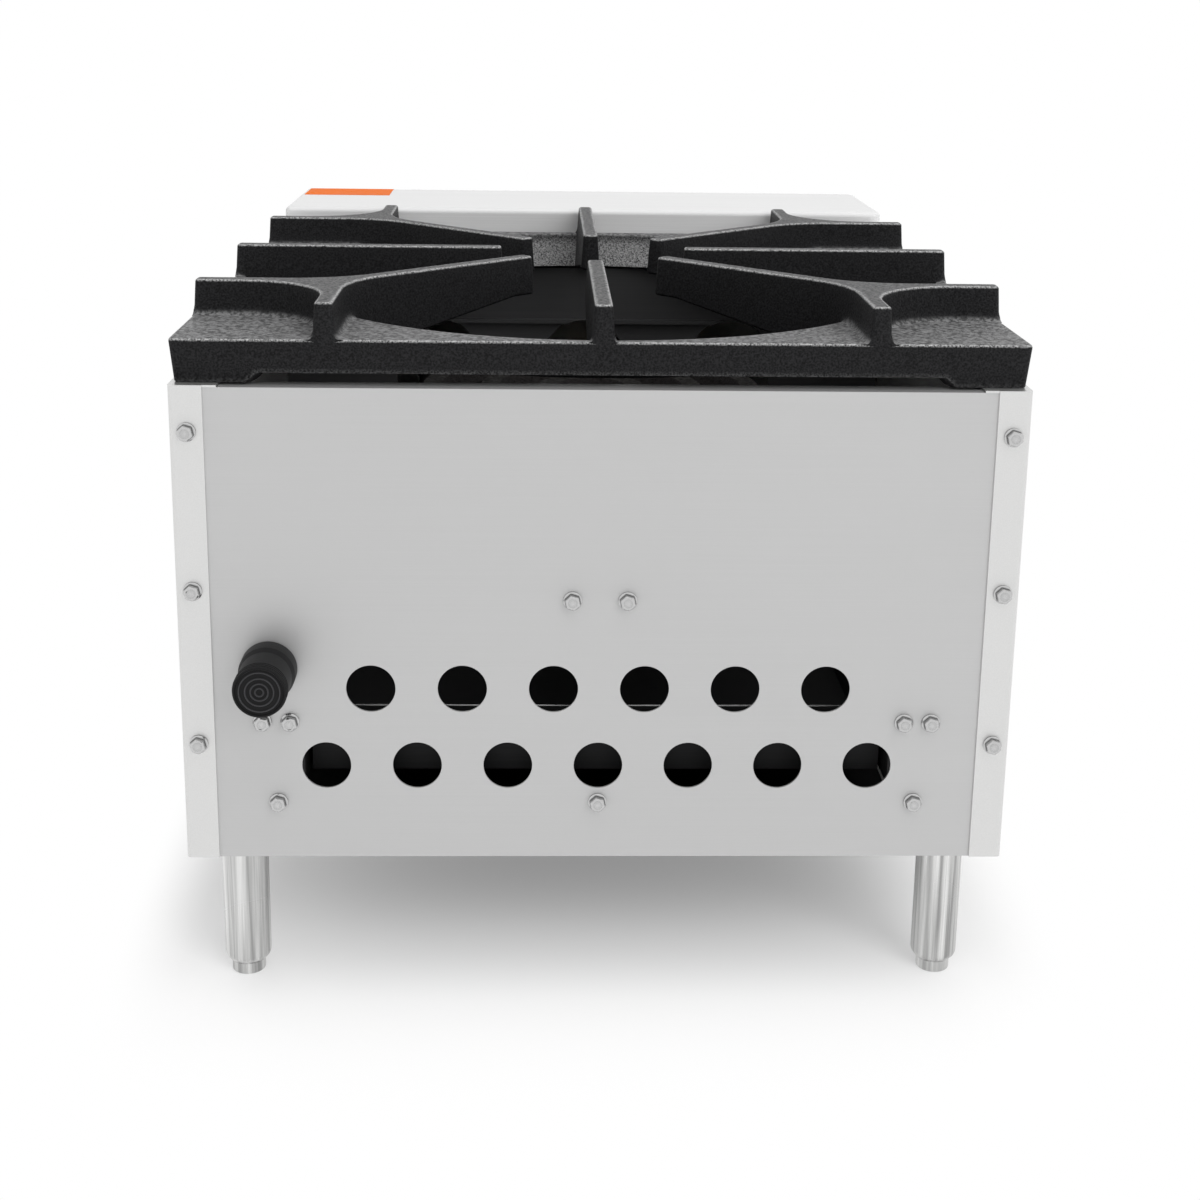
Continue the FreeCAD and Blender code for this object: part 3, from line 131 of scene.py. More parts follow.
def lathe(profile, centre, axis="Z", columns=96):
    """Spins (radius, height) pairs, in mm, about an axis through a centre in metres."""
    angle = np.linspace(0, TAU, columns, endpoint=False)
    radius, height = profile[:, :1] * MM, profile[:, 1:] * MM
    x, y = radius * np.cos(angle), radius * np.sin(angle)
    z = np.broadcast_to(height, x.shape)
    return turn_axis(np.stack([x, y, z], axis=-1), axis) + np.array(centre)


def turn_axis(grid, axis):
    """Turns a grid made along +Z so that it runs along the named axis instead."""
    x, y, z = np.moveaxis(grid, -1, 0)
    columns = {"Z": (x, y, z), "Y": (x, z, -y), "-Y": (x, -z, y), "X": (z, x, y)}
    return np.stack(columns[axis], axis=-1)


print("a square corner, rounded:", rounded([(0, 0), (9, 0), (9, 9)], [3]).round(2).tolist())


# %% [markdown]
# ## Finishes shared by several parts
# Brushed sheet, cast iron and moulded plastic each need an effect that varies over the surface:
# fine scratches, sand grain, smudges. An effect could be drawn again in each material, but as a
# node group with one plain input it is built once, and each material places it with its own depth.

# %% Node group helpers
def new_group(name, inputs, outputs):
    """An empty shader group with float inputs (name: default) and named outputs (name: type)."""
    group = bpy.data.node_groups.new(name, "ShaderNodeTree")
    for label, value in inputs.items():
        socket = group.interface.new_socket(label, in_out="INPUT", socket_type="NodeSocketFloat")
        socket.default_value = value
    for label, kind in outputs.items():
        group.interface.new_socket(label, in_out="OUTPUT", socket_type=kind)
    return group, group.nodes.new("NodeGroupInput"), group.nodes.new("NodeGroupOutput")


def add(tree, kind, **settings):
    """Adds a node and sets its properties."""
    node = tree.nodes.new(kind)
    for name, value in settings.items():
        setattr(node, name, value)
    return node


def stretched(tree, scale):
    """Object coordinates stretched by a different factor along each axis."""
    place = add(tree, "ShaderNodeTexCoord")
    mapping = add(tree, "ShaderNodeMapping")
    mapping.inputs["Scale"].default_value = scale
    tree.links.new(place.outputs["Object"], mapping.inputs["Vector"])
    return mapping.outputs["Vector"]


def noise(tree, vector, scale, detail=2.0, rough=0.5):
    """A noise texture's value at a vector."""
    node = add(tree, "ShaderNodeTexNoise")
    node.inputs["Scale"].default_value = scale
    node.inputs["Detail"].default_value = detail
    node.inputs["Roughness"].default_value = rough
    tree.links.new(vector, node.inputs["Vector"])
    return node.outputs["Fac"]


def spread(tree, value, low, high, start=0.0, end=1.0):
    """Maps the range from start to end onto the range from low to high."""
    node = add(tree, "ShaderNodeMapRange")
    tree.links.new(value, node.inputs["Value"])
    for name, number in (("From Min", start), ("From Max", end), ("To Min", low), ("To Max", high)):
        node.inputs[name].default_value = number
    return node.outputs["Result"]


# %% Brushing and sand grain
def brushed_group(name, scale):
    """Fine parallel scratches: noise stretched far along the brushing, plus broad smudges."""
    group, given, out = new_group(name, {"Depth": 0.1}, {
        "Shade": "NodeSocketFloat", "Smudge": "NodeSocketFloat", "Normal": "NodeSocketVector"})
    lines = noise(group, stretched(group, scale), 1.0, detail=3.0, rough=0.65)
    cloud = noise(group, stretched(group, (1, 1, 1)), 6.0, detail=3.0)
    bump = add(group, "ShaderNodeBump")
    bump.inputs["Distance"].default_value = 0.0001
    group.links.new(given.outputs["Depth"], bump.inputs["Strength"])
    group.links.new(lines, bump.inputs["Height"])
    group.links.new(spread(group, lines, 0.0, 1.0, 0.34, 0.66), out.inputs["Shade"])
    group.links.new(cloud, out.inputs["Smudge"])
    group.links.new(bump.outputs["Normal"], out.inputs["Normal"])
    return group


def grain_group():
    """Sand-cast skin: fine grit, coarser pits, broad patches, and the relief of grit and pits."""
    group, given, out = new_group("sand_cast_grain", {"Depth": 0.3}, {
        "Grit": "NodeSocketFloat", "Pits": "NodeSocketFloat", "Patch": "NodeSocketFloat",
        "Normal": "NodeSocketVector"})
    even = stretched(group, (1, 1, 1))
    grit = noise(group, even, 950.0, detail=2.0, rough=0.6)
    pits = noise(group, even, 440.0, detail=2.0, rough=0.55)
    patch = noise(group, even, 22.0, detail=3.0)
    height = add(group, "ShaderNodeMath", operation="ADD")
    group.links.new(grit, height.inputs[0])
    group.links.new(pits, height.inputs[1])
    bump = add(group, "ShaderNodeBump")
    bump.inputs["Distance"].default_value = 0.0006
    group.links.new(given.outputs["Depth"], bump.inputs["Strength"])
    group.links.new(height.outputs[0], bump.inputs["Height"])
    group.links.new(spread(group, grit, 0.0, 1.0, 0.36, 0.64), out.inputs["Grit"])
    group.links.new(spread(group, pits, 0.0, 1.0, 0.4, 0.6), out.inputs["Pits"])
    group.links.new(patch, out.inputs["Patch"])
    group.links.new(bump.outputs["Normal"], out.inputs["Normal"])
    return group


BRUSHED_ALONG_X = brushed_group("brushed_along_x", (6, 1600, 1600))
BRUSHED_ALONG_Y = brushed_group("brushed_along_y", (1600, 6, 1600))
# On the legs these lines are set broad and strong, as painted reflection bands.
DRAWN_LINES_AND_REFLECTION_BANDS = brushed_group("drawn_lines_and_reflection_bands", (230, 230, 5))
SAND_CAST = grain_group()
print("effects:", [group.name for group in bpy.data.node_groups])


# %% [markdown]
# ## Materials
# Bright metal takes its look from what it mirrors, so its base colour is the share of light that
# it returns and its roughness says how blurred the mirror is. Scratch lines change the colour a
# little and smudges change the roughness, but on the legs the lines are painted reflection bands.
# The "edge" attribute that every new piece carries tells a material where the surface is worn or
# wiped, where it gets a painted highlight or painted light, and where it gets painted shade, which
# a picture wrapped round it could also do, but an attribute follows the shape exactly and costs
# nothing.

# %% Material makers
def empty_material(name, color, metallic=0.0, roughness=0.5):
    """A material with one Principled shader, its plain values set on the shader's own sockets."""
    material = bpy.data.materials.new(name)
    material.use_nodes = True
    shader = material.node_tree.nodes["Principled BSDF"]
    shader.inputs["Base Color"].default_value = (*color, 1)
    shader.inputs["Metallic"].default_value = metallic
    shader.inputs["Roughness"].default_value = roughness
    return material, material.node_tree, shader


def place_group(tree, group, depth):
    """Places a shared effect in a material, with the depth of its relief."""
    node = add(tree, "ShaderNodeGroup")
    node.node_tree = group
    node.inputs["Depth"].default_value = depth
    return node


def mixed(tree, factor, first, second):
    """A colour between two, each a plain colour or a socket, chosen by a 0 to 1 value."""
    mix = add(tree, "ShaderNodeMix", data_type="RGBA")
    for name, color in (("A", first), ("B", second)):
        socket = [s for s in mix.inputs if s.name == name and s.type == "RGBA"][0]
        if isinstance(color, tuple):
            socket.default_value = (*color, 1)
        else:
            tree.links.new(color, socket)
    tree.links.new(factor, mix.inputs[0])
    return [s for s in mix.outputs if s.type == "RGBA"][0]


def shaded(color, share):
    """A colour made darker or lighter by a share."""
    return tuple(min(1.0, share * part) for part in color)


# %% Sheet metal
def sheet_metal(name, color, roughness, group, depth=0.12, contrast=0.06, metallic=1.0):
    """Brushed or dull sheet: scratch lines shade it and smudges vary its gloss.

    At a high contrast, as on the legs, the lines stand for painted reflection bands. Where the edge
    attribute is above zero, as in a bolt's corners, the colour gets painted shade.
    """
    material, tree, shader = empty_material(name, color, metallic, roughness)
    effect = place_group(tree, group, depth)
    shade = mixed(tree, effect.outputs["Shade"], shaded(color, 1 - contrast),
                  shaded(color, 1 + contrast))
    edge = add(tree, "ShaderNodeAttribute", attribute_name="edge")
    # Painted shade: towards 0.12 of the colour where the edge attribute is above zero.
    shade = mixed(tree, edge.outputs["Fac"], shade, shaded(color, 0.12))
    gloss = spread(tree, effect.outputs["Smudge"], roughness * 0.85, roughness * 1.2)
    tree.links.new(shade, shader.inputs["Base Color"])
    tree.links.new(gloss, shader.inputs["Roughness"])
    tree.links.new(effect.outputs["Normal"], shader.inputs["Normal"])
    return material


# %% Cast iron
def cast_metal(name, color, dusty, worn_and_painted_light, roughness, depth, shine=0.12):
    """Cast iron: dark gritty walls, paler dusty tops, and worn edges with a painted highlight.

    The share of dust is how far the surface faces up, read from its normal's height, less what
    pots have wiped off where the edge attribute is below zero. Above zero it is painted bright:
    worn edges with a painted highlight, and painted light on slopes such as the grate's bowl.
    """
    material, tree, shader = empty_material(name, color, 0.0, roughness)
    shader.inputs["Specular IOR Level"].default_value = shine
    effect = place_group(tree, SAND_CAST, depth)
    grit = effect.outputs["Grit"]
    skin = mixed(tree, grit, shaded(color, 0.7), shaded(color, 2.2))
    rubbed_dust_and_painted_highlight = mixed(tree, effect.outputs["Patch"], shaded(dusty, 0.75), dusty)
    dust = mixed(tree, effect.outputs["Pits"], shaded(dusty, 0.25), rubbed_dust_and_painted_highlight)
    facing = add(tree, "ShaderNodeNewGeometry")
    upright = add(tree, "ShaderNodeSeparateXYZ")
    tree.links.new(facing.outputs["Normal"], upright.inputs["Vector"])
    up = add(tree, "ShaderNodeMapRange", interpolation_type="SMOOTHSTEP")
    up.inputs["From Min"].default_value = 0.35
    up.inputs["From Max"].default_value = 0.95
    tree.links.new(upright.outputs["Z"], up.inputs["Value"])
    edge = add(tree, "ShaderNodeAttribute", attribute_name="edge")
    wiped = add(tree, "ShaderNodeMath", operation="MINIMUM")
    tree.links.new(edge.outputs["Fac"], wiped.inputs[0])
    wiped.inputs[1].default_value = 0.0
    dusted = add(tree, "ShaderNodeMath", operation="ADD", use_clamp=True)
    tree.links.new(up.outputs["Result"], dusted.inputs[0])
    tree.links.new(wiped.outputs[0], dusted.inputs[1])
    body = mixed(tree, dusted.outputs[0], skin, dust)
    # Wear and painted light: towards the worn colour where the edge attribute is above zero.
    rub_and_painted_light = add(tree, "ShaderNodeMath", operation="MULTIPLY")
    tree.links.new(edge.outputs["Fac"], rub_and_painted_light.inputs[0])
    tree.links.new(grit, rub_and_painted_light.inputs[1])
    tree.links.new(mixed(tree, rub_and_painted_light.outputs[0], body, worn_and_painted_light), shader.inputs["Base Color"])
    tree.links.new(spread(tree, grit, roughness * 1.2, roughness * 0.8), shader.inputs["Roughness"])
    tree.links.new(effect.outputs["Normal"], shader.inputs["Normal"])
    return material


# %% Moulded plastic
def moulded(name, color, roughness, depth=0.08, shine=0.4):
    """Moulded plastic or film: a faint grain, a little change of gloss, a painted highlight on
    ridges.
    """
    material, tree, shader = empty_material(name, color, 0.0, roughness)
    shader.inputs["Specular IOR Level"].default_value = shine
    effect = place_group(tree, SAND_CAST, depth)
    shade = mixed(tree, effect.outputs["Patch"], shaded(color, 0.9), shaded(color, 1.1))
    edge = add(tree, "ShaderNodeAttribute", attribute_name="edge")
    # Painted highlight: much paler where the edge attribute marks a ridge.
    rubbed_dust_and_painted_highlight = mixed(tree, edge.outputs["Fac"], shade, shaded(color, 7))
    tree.links.new(rubbed_dust_and_painted_highlight, shader.inputs["Base Color"])
    gloss = spread(tree, effect.outputs["Patch"], roughness * 0.85, roughness * 1.15)
    tree.links.new(gloss, shader.inputs["Roughness"])
    tree.links.new(effect.outputs["Normal"], shader.inputs["Normal"])
    return material


# %% [markdown]
# ## The finishes of this range
# The rear panel is brushed from side to side and the side panels from front to back, so each has
# its own direction of scratches. The ledge over the controls is a softer satin sheet, and the
# sheets inside, round and under the flame, are painted dark as painted shade. The grate is bare
# iron that dust and pots have made paler on top, with a painted highlight on its worn edges and
# painted light on its bowl. Every part keeps its own mesh, and only its material slot is filled.

# %% Finishes
steel_across = sheet_metal("stainless_brushed_across", (0.515, 0.515, 0.515), 0.42, BRUSHED_ALONG_X,
                           depth=0.04, contrast=0.012, metallic=0.6)
steel_along = sheet_metal("stainless_brushed_along", (0.68, 0.68, 0.675), 0.34, BRUSHED_ALONG_Y,
                          depth=0.08, contrast=0.03, metallic=0.85)
steel_ledge = sheet_metal("stainless_ledge", (0.69, 0.69, 0.69), 0.4, BRUSHED_ALONG_X,
                          contrast=0.04, metallic=0.12)
# The legs' high contrast paints bands of light and dark into the colour: painted reflection.
steel_leg = sheet_metal("stainless_leg", (0.56, 0.56, 0.555), 0.27, DRAWN_LINES_AND_REFLECTION_BANDS, depth=0.2,
                        contrast=0.42)
galvanised = sheet_metal("galvanised_sheet", (0.30, 0.31, 0.32), 0.5, BRUSHED_ALONG_X, depth=0.05)
# The inside sheets and the baffle are painted dark as painted shade, where little light reaches
# inside the range.
inside_painted_dark = sheet_metal("inside_sheet_painted_dark", (0.034, 0.034, 0.035), 0.6, BRUSHED_ALONG_X, depth=0.05)
baffle_steel = sheet_metal("baffle_sheet", (0.075, 0.075, 0.077), 0.55, BRUSHED_ALONG_X, depth=0.05,
                           metallic=0.5)
bright_zinc = sheet_metal("bright_bolt_zinc", (0.56, 0.56, 0.56), 0.24, BRUSHED_ALONG_Y, depth=0.05)
brass = sheet_metal("valve_brass", (0.62, 0.43, 0.16), 0.32, BRUSHED_ALONG_Y, depth=0.1)
aluminium = sheet_metal("aluminium_tube", (0.70, 0.70, 0.71), 0.30, BRUSHED_ALONG_Y, depth=0.1)
grate_iron = cast_metal("grate_cast_iron", (0.009, 0.009, 0.0095), (0.225, 0.225, 0.227),
                        (0.5, 0.5, 0.5), 0.5, 0.4, shine=0.08)
burner_iron = cast_metal("burner_cast_iron", (0.012, 0.011, 0.011), (0.030, 0.029, 0.028),
                         (0.12, 0.11, 0.10), 0.9, 0.3, shine=0.02)
pipe_black = cast_metal("black_pipe", (0.02, 0.02, 0.02), (0.05, 0.05, 0.05), (0.2, 0.2, 0.2),
                        0.45, 0.1)
cap_rubber = moulded("cap_soft_black", (0.007, 0.007, 0.0074), 0.48, shine=0.16)
knob_black = moulded("knob_black", (0.014, 0.014, 0.015), 0.28, depth=0.04)
label_film = moulded("orange_label_film", (0.74, 0.145, 0.003), 0.5, depth=0.03, shine=0.04)
print("finishes:", [material.name for material in bpy.data.materials])

# %% Give every part its finish
NODE_FINISHES = {
    steel_across: ["rear_panel", "control_panel", "front_lower_rail", "tray_front", "tray_pull"],
    steel_along: ["side_panel_left", "side_panel_right"],
    steel_ledge: ["front_ledge"],
    galvanised: ["rear_lower_rail", "manifold_straps", "pilot_bracket"],
    inside_painted_dark: ["bottom_shield", "tray_runner_left", "tray_runner_right", "drip_tray",
             "burner_front_rail", "burner_bracket", "burner_cradle"],
    baffle_steel: ["burner_baffle"],
    bright_zinc: ["rear_panel_bolts", "leg_nuts", "valve_stem_left", "valve_stem_center",
                  "valve_stem_right", "air_shutter_left", "air_shutter_center",
                  "air_shutter_right", "pilot_head"],
    label_film: ["blank_label"],
    burner_iron: ["burner_outer_ring", "burner_middle_ring", "burner_inner_ring"],
    pipe_black: ["gas_manifold", "supply_pipe", "supply_elbow", "inlet_collar"],
    cap_rubber: ["inlet_cap"],
    brass: ["orifice_hoods", "gas_valve_left", "gas_valve_center", "gas_valve_right",
            "pilot_valve", "pilot_screw"],
    aluminium: ["pilot_tube"],
    knob_black: ["knob_left", "knob_center", "knob_right"],
    steel_leg: [name for name in nodes if name.startswith(("leg_front", "leg_rear", "foot_"))],
    grate_iron: ["grate"],
}
for finish, members in NODE_FINISHES.items():
    for name in members:
        nodes[name].data.materials.clear()
        nodes[name].data.materials.append(finish)
bare = set(nodes) - {name for members in NODE_FINISHES.values() for name in members}
print("parts without a finish:", sorted(bare))

# %% [markdown]
# ## The cast grate
# A grate like this is poured in sand, so every top edge is rounded, every wall leans a little,
# and every rib runs into the plate with a soft fillet. It could be made with bevels on a hard
# model, but bevels fail where a sloping wall meets a curved rib. Here each rib is a closed outline
# that is drawn again and again at rising levels: pushed outwards at the foot for the fillet,
# leaning inwards up the wall, and pulled in over a quarter circle at the top.

# %% Outlines with rounded corners
def outline_of(corners, radii, spacing=3.0, arc_step=15):
    """A closed outline and its outward directions, anticlockwise, with each corner rounded.

    A corner of radius r starts its arc r x tan(half the turn) before the corner. Along the arc the
    outward direction turns evenly, and a point is the arc's centre plus that direction times r.
    """
    corners = np.array(corners, float)
    ahead = np.roll(corners, -1, axis=0) - corners
    ahead /= np.linalg.norm(ahead, axis=1)[:, None]
    back = np.roll(ahead, 1, axis=0)
    crossed = back[:, 0] * ahead[:, 1] - back[:, 1] * ahead[:, 0]
    turn = np.arctan2(crossed, (back * ahead).sum(axis=1))
    reach = np.array(radii) * np.tan(np.abs(turn) / 2)
    places, directions = [], []
    for k in range(len(corners)):
        out = np.array([back[k, 1], -back[k, 0]])
        side = math.copysign(1, turn[k])
        start = corners[k] - back[k] * reach[k]
        centre = start - side * out * radii[k]
        steps = max(2, int(abs(math.degrees(turn[k])) / arc_step),
                    int(abs(turn[k]) * radii[k] / spacing))
        angle = np.linspace(0, turn[k], steps + 1)[:, None]
        normal = out * np.cos(angle) + np.array([-out[1], out[0]]) * np.sin(angle)
        places.append(centre + side * normal * radii[k])
        directions.append(normal)
        after = (k + 1) % len(corners)
        end = corners[after] - ahead[k] * reach[after]
        run = end - places[-1][-1]
        count = int(np.linalg.norm(run) / spacing)
        share = np.linspace(0, 1, count + 2)[1:-1, None]
        places.append(places[-1][-1] + share * run)
        directions.append(np.repeat([[ahead[k, 1], -ahead[k, 0]]], count, axis=0))
    return np.concatenate(places), np.concatenate(directions)


# %% Ribs drawn from above
GRATE_HALF = 228.5
GRATE_Y = 66.5
PLATE_TOP = 383.0
RIB_TOP = 402.6
BOWL_LOW = 360.0
RIB_OFFSET = 147.0
RIB_HALF = 4.75
RIB_END = GRATE_HALF - 1.4
FINGER_REACH = 59.0
DRAFT = 0.07
EDGE_ROUND = 1.5
TIP_ROUND = 2.4
FOOT_FILLET = 5.0
SWEEP_OUT = 65.25
SWEEP_IN = 50.25

half_root = math.sqrt(0.5)
bend = RIB_OFFSET - RIB_HALF
tip = FINGER_REACH * half_root
corner_rib = outline_of(
    [(RIB_OFFSET + RIB_HALF, RIB_END), (bend, RIB_END), (bend, bend + RIB_HALF / half_root),
     (tip - RIB_HALF * half_root, tip + RIB_HALF * half_root),
     (tip + RIB_HALF * half_root, tip - RIB_HALF * half_root),
     (bend + RIB_HALF / half_root, bend), (RIB_END, bend), (RIB_END, RIB_OFFSET + RIB_HALF),
     (RIB_OFFSET + RIB_HALF, RIB_OFFSET + RIB_HALF)],
    [TIP_ROUND, TIP_ROUND, SWEEP_OUT, TIP_ROUND, TIP_ROUND, SWEEP_OUT, TIP_ROUND, TIP_ROUND,
     SWEEP_IN])
straight_rib = outline_of([(RIB_HALF, RIB_END), (-RIB_HALF, RIB_END), (-RIB_HALF, FINGER_REACH),
                           (RIB_HALF, FINGER_REACH)], [TIP_ROUND] * 4)
print("points round a corner rib and a straight one:", len(corner_rib[0]), len(straight_rib[0]))


# %% The bowl's opening
ARC_CORNER = 146.0
ARC_SIDE = 222.5
ARC_RISE = ARC_SIDE - ARC_CORNER
ARC_RADIUS = (ARC_CORNER ** 2 + ARC_RISE ** 2) / (2 * ARC_RISE)
ARC_CENTRE = ARC_SIDE - ARC_RADIUS
BOWL_RUN = 16
BOWL_DEPTH = PLATE_TOP - BOWL_LOW
print("opening: four arcs of radius", round(ARC_RADIUS, 1), "mm")


def inside_opening(places):
    """How far points lie inside the plate's opening, in mm; below zero they lie on the plate.

    The opening is four equal shallow arcs, so a point is folded into the sector of one arc, and its
    distance is that arc's radius less the distance from the arc's centre.
    """
    size = np.abs(places)
    across, out = size.min(axis=-1), size.max(axis=-1)
    return ARC_RADIUS - np.hypot(across, out - ARC_CENTRE)


def smoothstep(value, low, high):
    """0 below low, 1 above high, and an even S between."""
    t = np.clip((value - low) / (high - low), 0, 1)
    return t * t * (3 - 2 * t)


# %% One rib
FINGER_ROOT = 200
FINGER_RISE = 21.6
RIB_SINK = 0.25


def rib_grid(rib):
    """Rising loops of one rib, foot to crown, and how worn and painted bright each point is.

    A loop is the outline pushed outwards by the draft times its depth below the crown. The foot
    adds a fillet that fades where the rib leaves the plate, and the crown takes away a quarter
    circle. Past the plate the underside rises in a cone towards the finger's tip.
    """
    outline, normal = rib
    on_plate = 1 - smoothstep(inside_opening(outline), -7, 1)
    reach = np.hypot(*outline.T)
    cone = BOWL_LOW + FINGER_RISE * (FINGER_ROOT - reach) / (FINGER_ROOT - FINGER_REACH)
    wall = PLATE_TOP - BOWL_DEPTH * (inside_opening(outline) + 6) / BOWL_RUN + 1
    low = np.minimum(PLATE_TOP - 4, np.maximum(np.maximum(cone, wall), BOWL_LOW + 0.5))
    loops = []
    quarter = np.linspace(0, math.pi / 2, 7)
    loops.append((low, -1.2 * (1 - on_plate), 0))
    loops.append((low + 1.2, 0 * low, 0))
    for angle in quarter:
        level = PLATE_TOP - RIB_SINK + FOOT_FILLET * (1 - math.cos(angle))
        loops.append((level, on_plate * FOOT_FILLET * (1 - math.sin(angle)), 0))
    wall_height = RIB_TOP - PLATE_TOP - FOOT_FILLET - EDGE_ROUND
    for share in (0.4, 0.8):
        loops.append((PLATE_TOP + FOOT_FILLET + share * wall_height, 0, 0))
    # The crown's rounded edge is worn and carries a painted highlight; its flat is wiped of dust.
    for angle in quarter:
        loops.append((RIB_TOP - EDGE_ROUND * (1 - math.sin(angle)),
                      -EDGE_ROUND * (1 - math.cos(angle)), math.sin(2 * angle) ** 2))
    loops.append((RIB_TOP, -EDGE_ROUND - 0.5, -0.5))
    rows, wear_and_painted_light = [], []
    for level, push, worn_and_painted_light in loops:
        level = np.broadcast_to(level, reach.shape)
        lean = DRAFT * (RIB_TOP - level)
        place = outline + normal * (push + lean)[:, None]
        place = np.clip(place, -GRATE_HALF + 0.05, GRATE_HALF - 0.05)
        rows.append(np.column_stack([place, level]))
        wear_and_painted_light.append(np.full(len(outline), worn_and_painted_light))
    return np.array(rows), np.array(wear_and_painted_light)


# %% The frame with its skirt and bowl
SKIRT_LOW = 364.5
SKIRT_LEAN = 1.6 / 18.5
PAD_DEPTH = 5.3
PAD_RAMP = (184.5, 190.5)
EDGE_ROLL = 1.6
WALL = 6.3
UNDER_DEPTH = 11


def frame_loops():
    """The grate's frame as loops round the square: up the skirt, over, down the bowl, and back.

    One side is drawn and turned three times. The outer line is straight and the inner one is the
    opening's arc, and both are read at the same shares of their widths, which crowd towards the
    corners. There the outer line is drawn in by up to 0.46 %, so that the corners are rounded.
    """
    share = np.linspace(-1, 1, 61)[:-1]
    share = np.sign(share) * (1 - (1 - np.abs(share)) ** 1.5)
    outer = np.column_stack([-share, np.ones_like(share)])
    rounding = 1 - 0.0046 * np.maximum(0, (np.abs(share) - 0.985) / 0.015) ** 2
    outer *= rounding[:, None]

    def arc(inset):
        """The opening's edge, drawn smaller by an inset, still meeting at the diagonals."""
        corner, side = ARC_CORNER - inset * half_root, ARC_SIDE - inset
        rise = side - corner
        radius = (corner ** 2 + rise ** 2) / (2 * rise)
        x = -share * corner
        return np.column_stack([x, side - radius + np.sqrt(radius ** 2 - x ** 2)])

    along = np.abs(outer[:, 0]) * GRATE_HALF
    skirt_low = SKIRT_LOW - PAD_DEPTH * smoothstep(along, *PAD_RAMP)

    def skirt(inset, level):
        """A loop along the skirt, which leans in towards its foot."""
        half = np.reshape(GRATE_HALF - inset - SKIRT_LEAN * (PLATE_TOP - level), (-1, 1))
        return np.column_stack([outer * half, np.broadcast_to(level, len(outer))])

    def bowl(inset, level):
        """A loop along the opening at a level."""
        return np.column_stack([arc(inset), np.broadcast_to(level, len(outer))])

    def kept_in(loop, margin):
        """A loop whose points stay a margin inside the grate's outer line."""
        limit = GRATE_HALF - margin
        return np.column_stack([np.clip(loop[:, :2], -limit, limit), loop[:, 2]])

    quarter = np.linspace(0, math.pi / 2, 5)
    # Edge values on the skirt's foot and its top roll are wear with a painted highlight along the
    # edge.
    loops = [(skirt(3.5, skirt_low), 0), (skirt(1.0, skirt_low), 0.05),
             (skirt(0.25, skirt_low + 0.3), 0.15), (skirt(0.0, skirt_low + 1.0), 0.08),
             (skirt(0.0, skirt_low + 3), 0), (skirt(0.0, PLATE_TOP - 4), 0)]
    for angle in quarter:
        inset, drop = EDGE_ROLL * (1 - math.cos(angle)), EDGE_ROLL * (1 - math.sin(angle))
        loops.append((skirt(inset, PLATE_TOP - drop), math.sin(2 * angle) ** 2))
    loops += [(skirt(2.4, PLATE_TOP), 0), (kept_in(bowl(-3.0, PLATE_TOP), 3.2), 0)]
    # Down the bowl the edge values paint it paler: a painted highlight on the roll and the lower
    # edge, and painted light on the slope.
    for angle in quarter:
        inset, drop = -2.0 + 3.6 * math.sin(angle), 2.6 * (1 - math.cos(angle))
        loops.append((bowl(inset, PLATE_TOP - drop), 0.15 * math.sin(angle)))
    for depth in (8.0, 15.0, 21.5):
        wear_and_painted_light = 0.4 + 0.008 * depth
        loops.append((bowl(BOWL_RUN * depth / BOWL_DEPTH, PLATE_TOP - depth), wear_and_painted_light))
    loops += [(bowl(15.6, BOWL_LOW + 0.4), 0.5), (bowl(14.6, BOWL_LOW), 0.2),
              (bowl(11.0, BOWL_LOW), 0), (bowl(9.8, BOWL_LOW + 0.6), 0)]
    under = bowl(BOWL_RUN * UNDER_DEPTH / BOWL_DEPTH - WALL, PLATE_TOP - UNDER_DEPTH)
    loops += [(kept_in(under, 9.4), 0), (skirt(8.0, PLATE_TOP - 10.4), 0),
              (skirt(7.0, skirt_low + 1), 0)]
    rows = np.array([loop for loop, _ in loops])
    wear_and_painted_light = np.array([np.full(len(outer), worn_and_painted_light) for _, worn_and_painted_light in loops])
    turned = [quarter_turn(rows, k) for k in range(4)]
    return np.concatenate(turned, axis=1), np.concatenate([wear_and_painted_light] * 4, axis=1)


def quarter_turn(grid, times):
    """A grid turned about the upright axis by a number of quarter turns, anticlockwise."""
    x, y, z = np.moveaxis(grid, -1, 0)
    for _ in range(times):
        x, y = -y, x
    return np.stack([x, y, z], axis=-1)


# %% Cast the grate
def in_place(grid):
    """From millimetres about the grate's centre to metres in the range's frame."""
    return (grid + np.array([0, GRATE_Y, 0])) * MM


frame_rows, frame_wear_and_painted_light = frame_loops()
shells = [(in_place(frame_rows), frame_wear_and_painted_light, "ring")]
for rib in (corner_rib, straight_rib):
    rows, wear_and_painted_light = rib_grid(rib)
    shells += [(in_place(quarter_turn(rows, k)), wear_and_painted_light, "capped") for k in range(4)]
grate = shell_piece("grate_casting", shells, grate_iron, "grate")
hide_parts("grate")
print("grate:", len(grate.data.vertices), "points")

# %% [markdown]
# ## Bolts
# A flange bolt is a hexagon with a round washer forged onto it, and its top corners are cut back
# by a cone. A plain lathe can't make a hexagon, but a grid can: the radius of each column is the
# distance to the hexagon's side in that direction, and the cone sets how high it may rise.

# %% One flange bolt
WASHER_RADIUS = 5.2
HEAD_FLATS = 7.6
HEAD_HEIGHT = 5.2
HEAD_TURN = 0.3


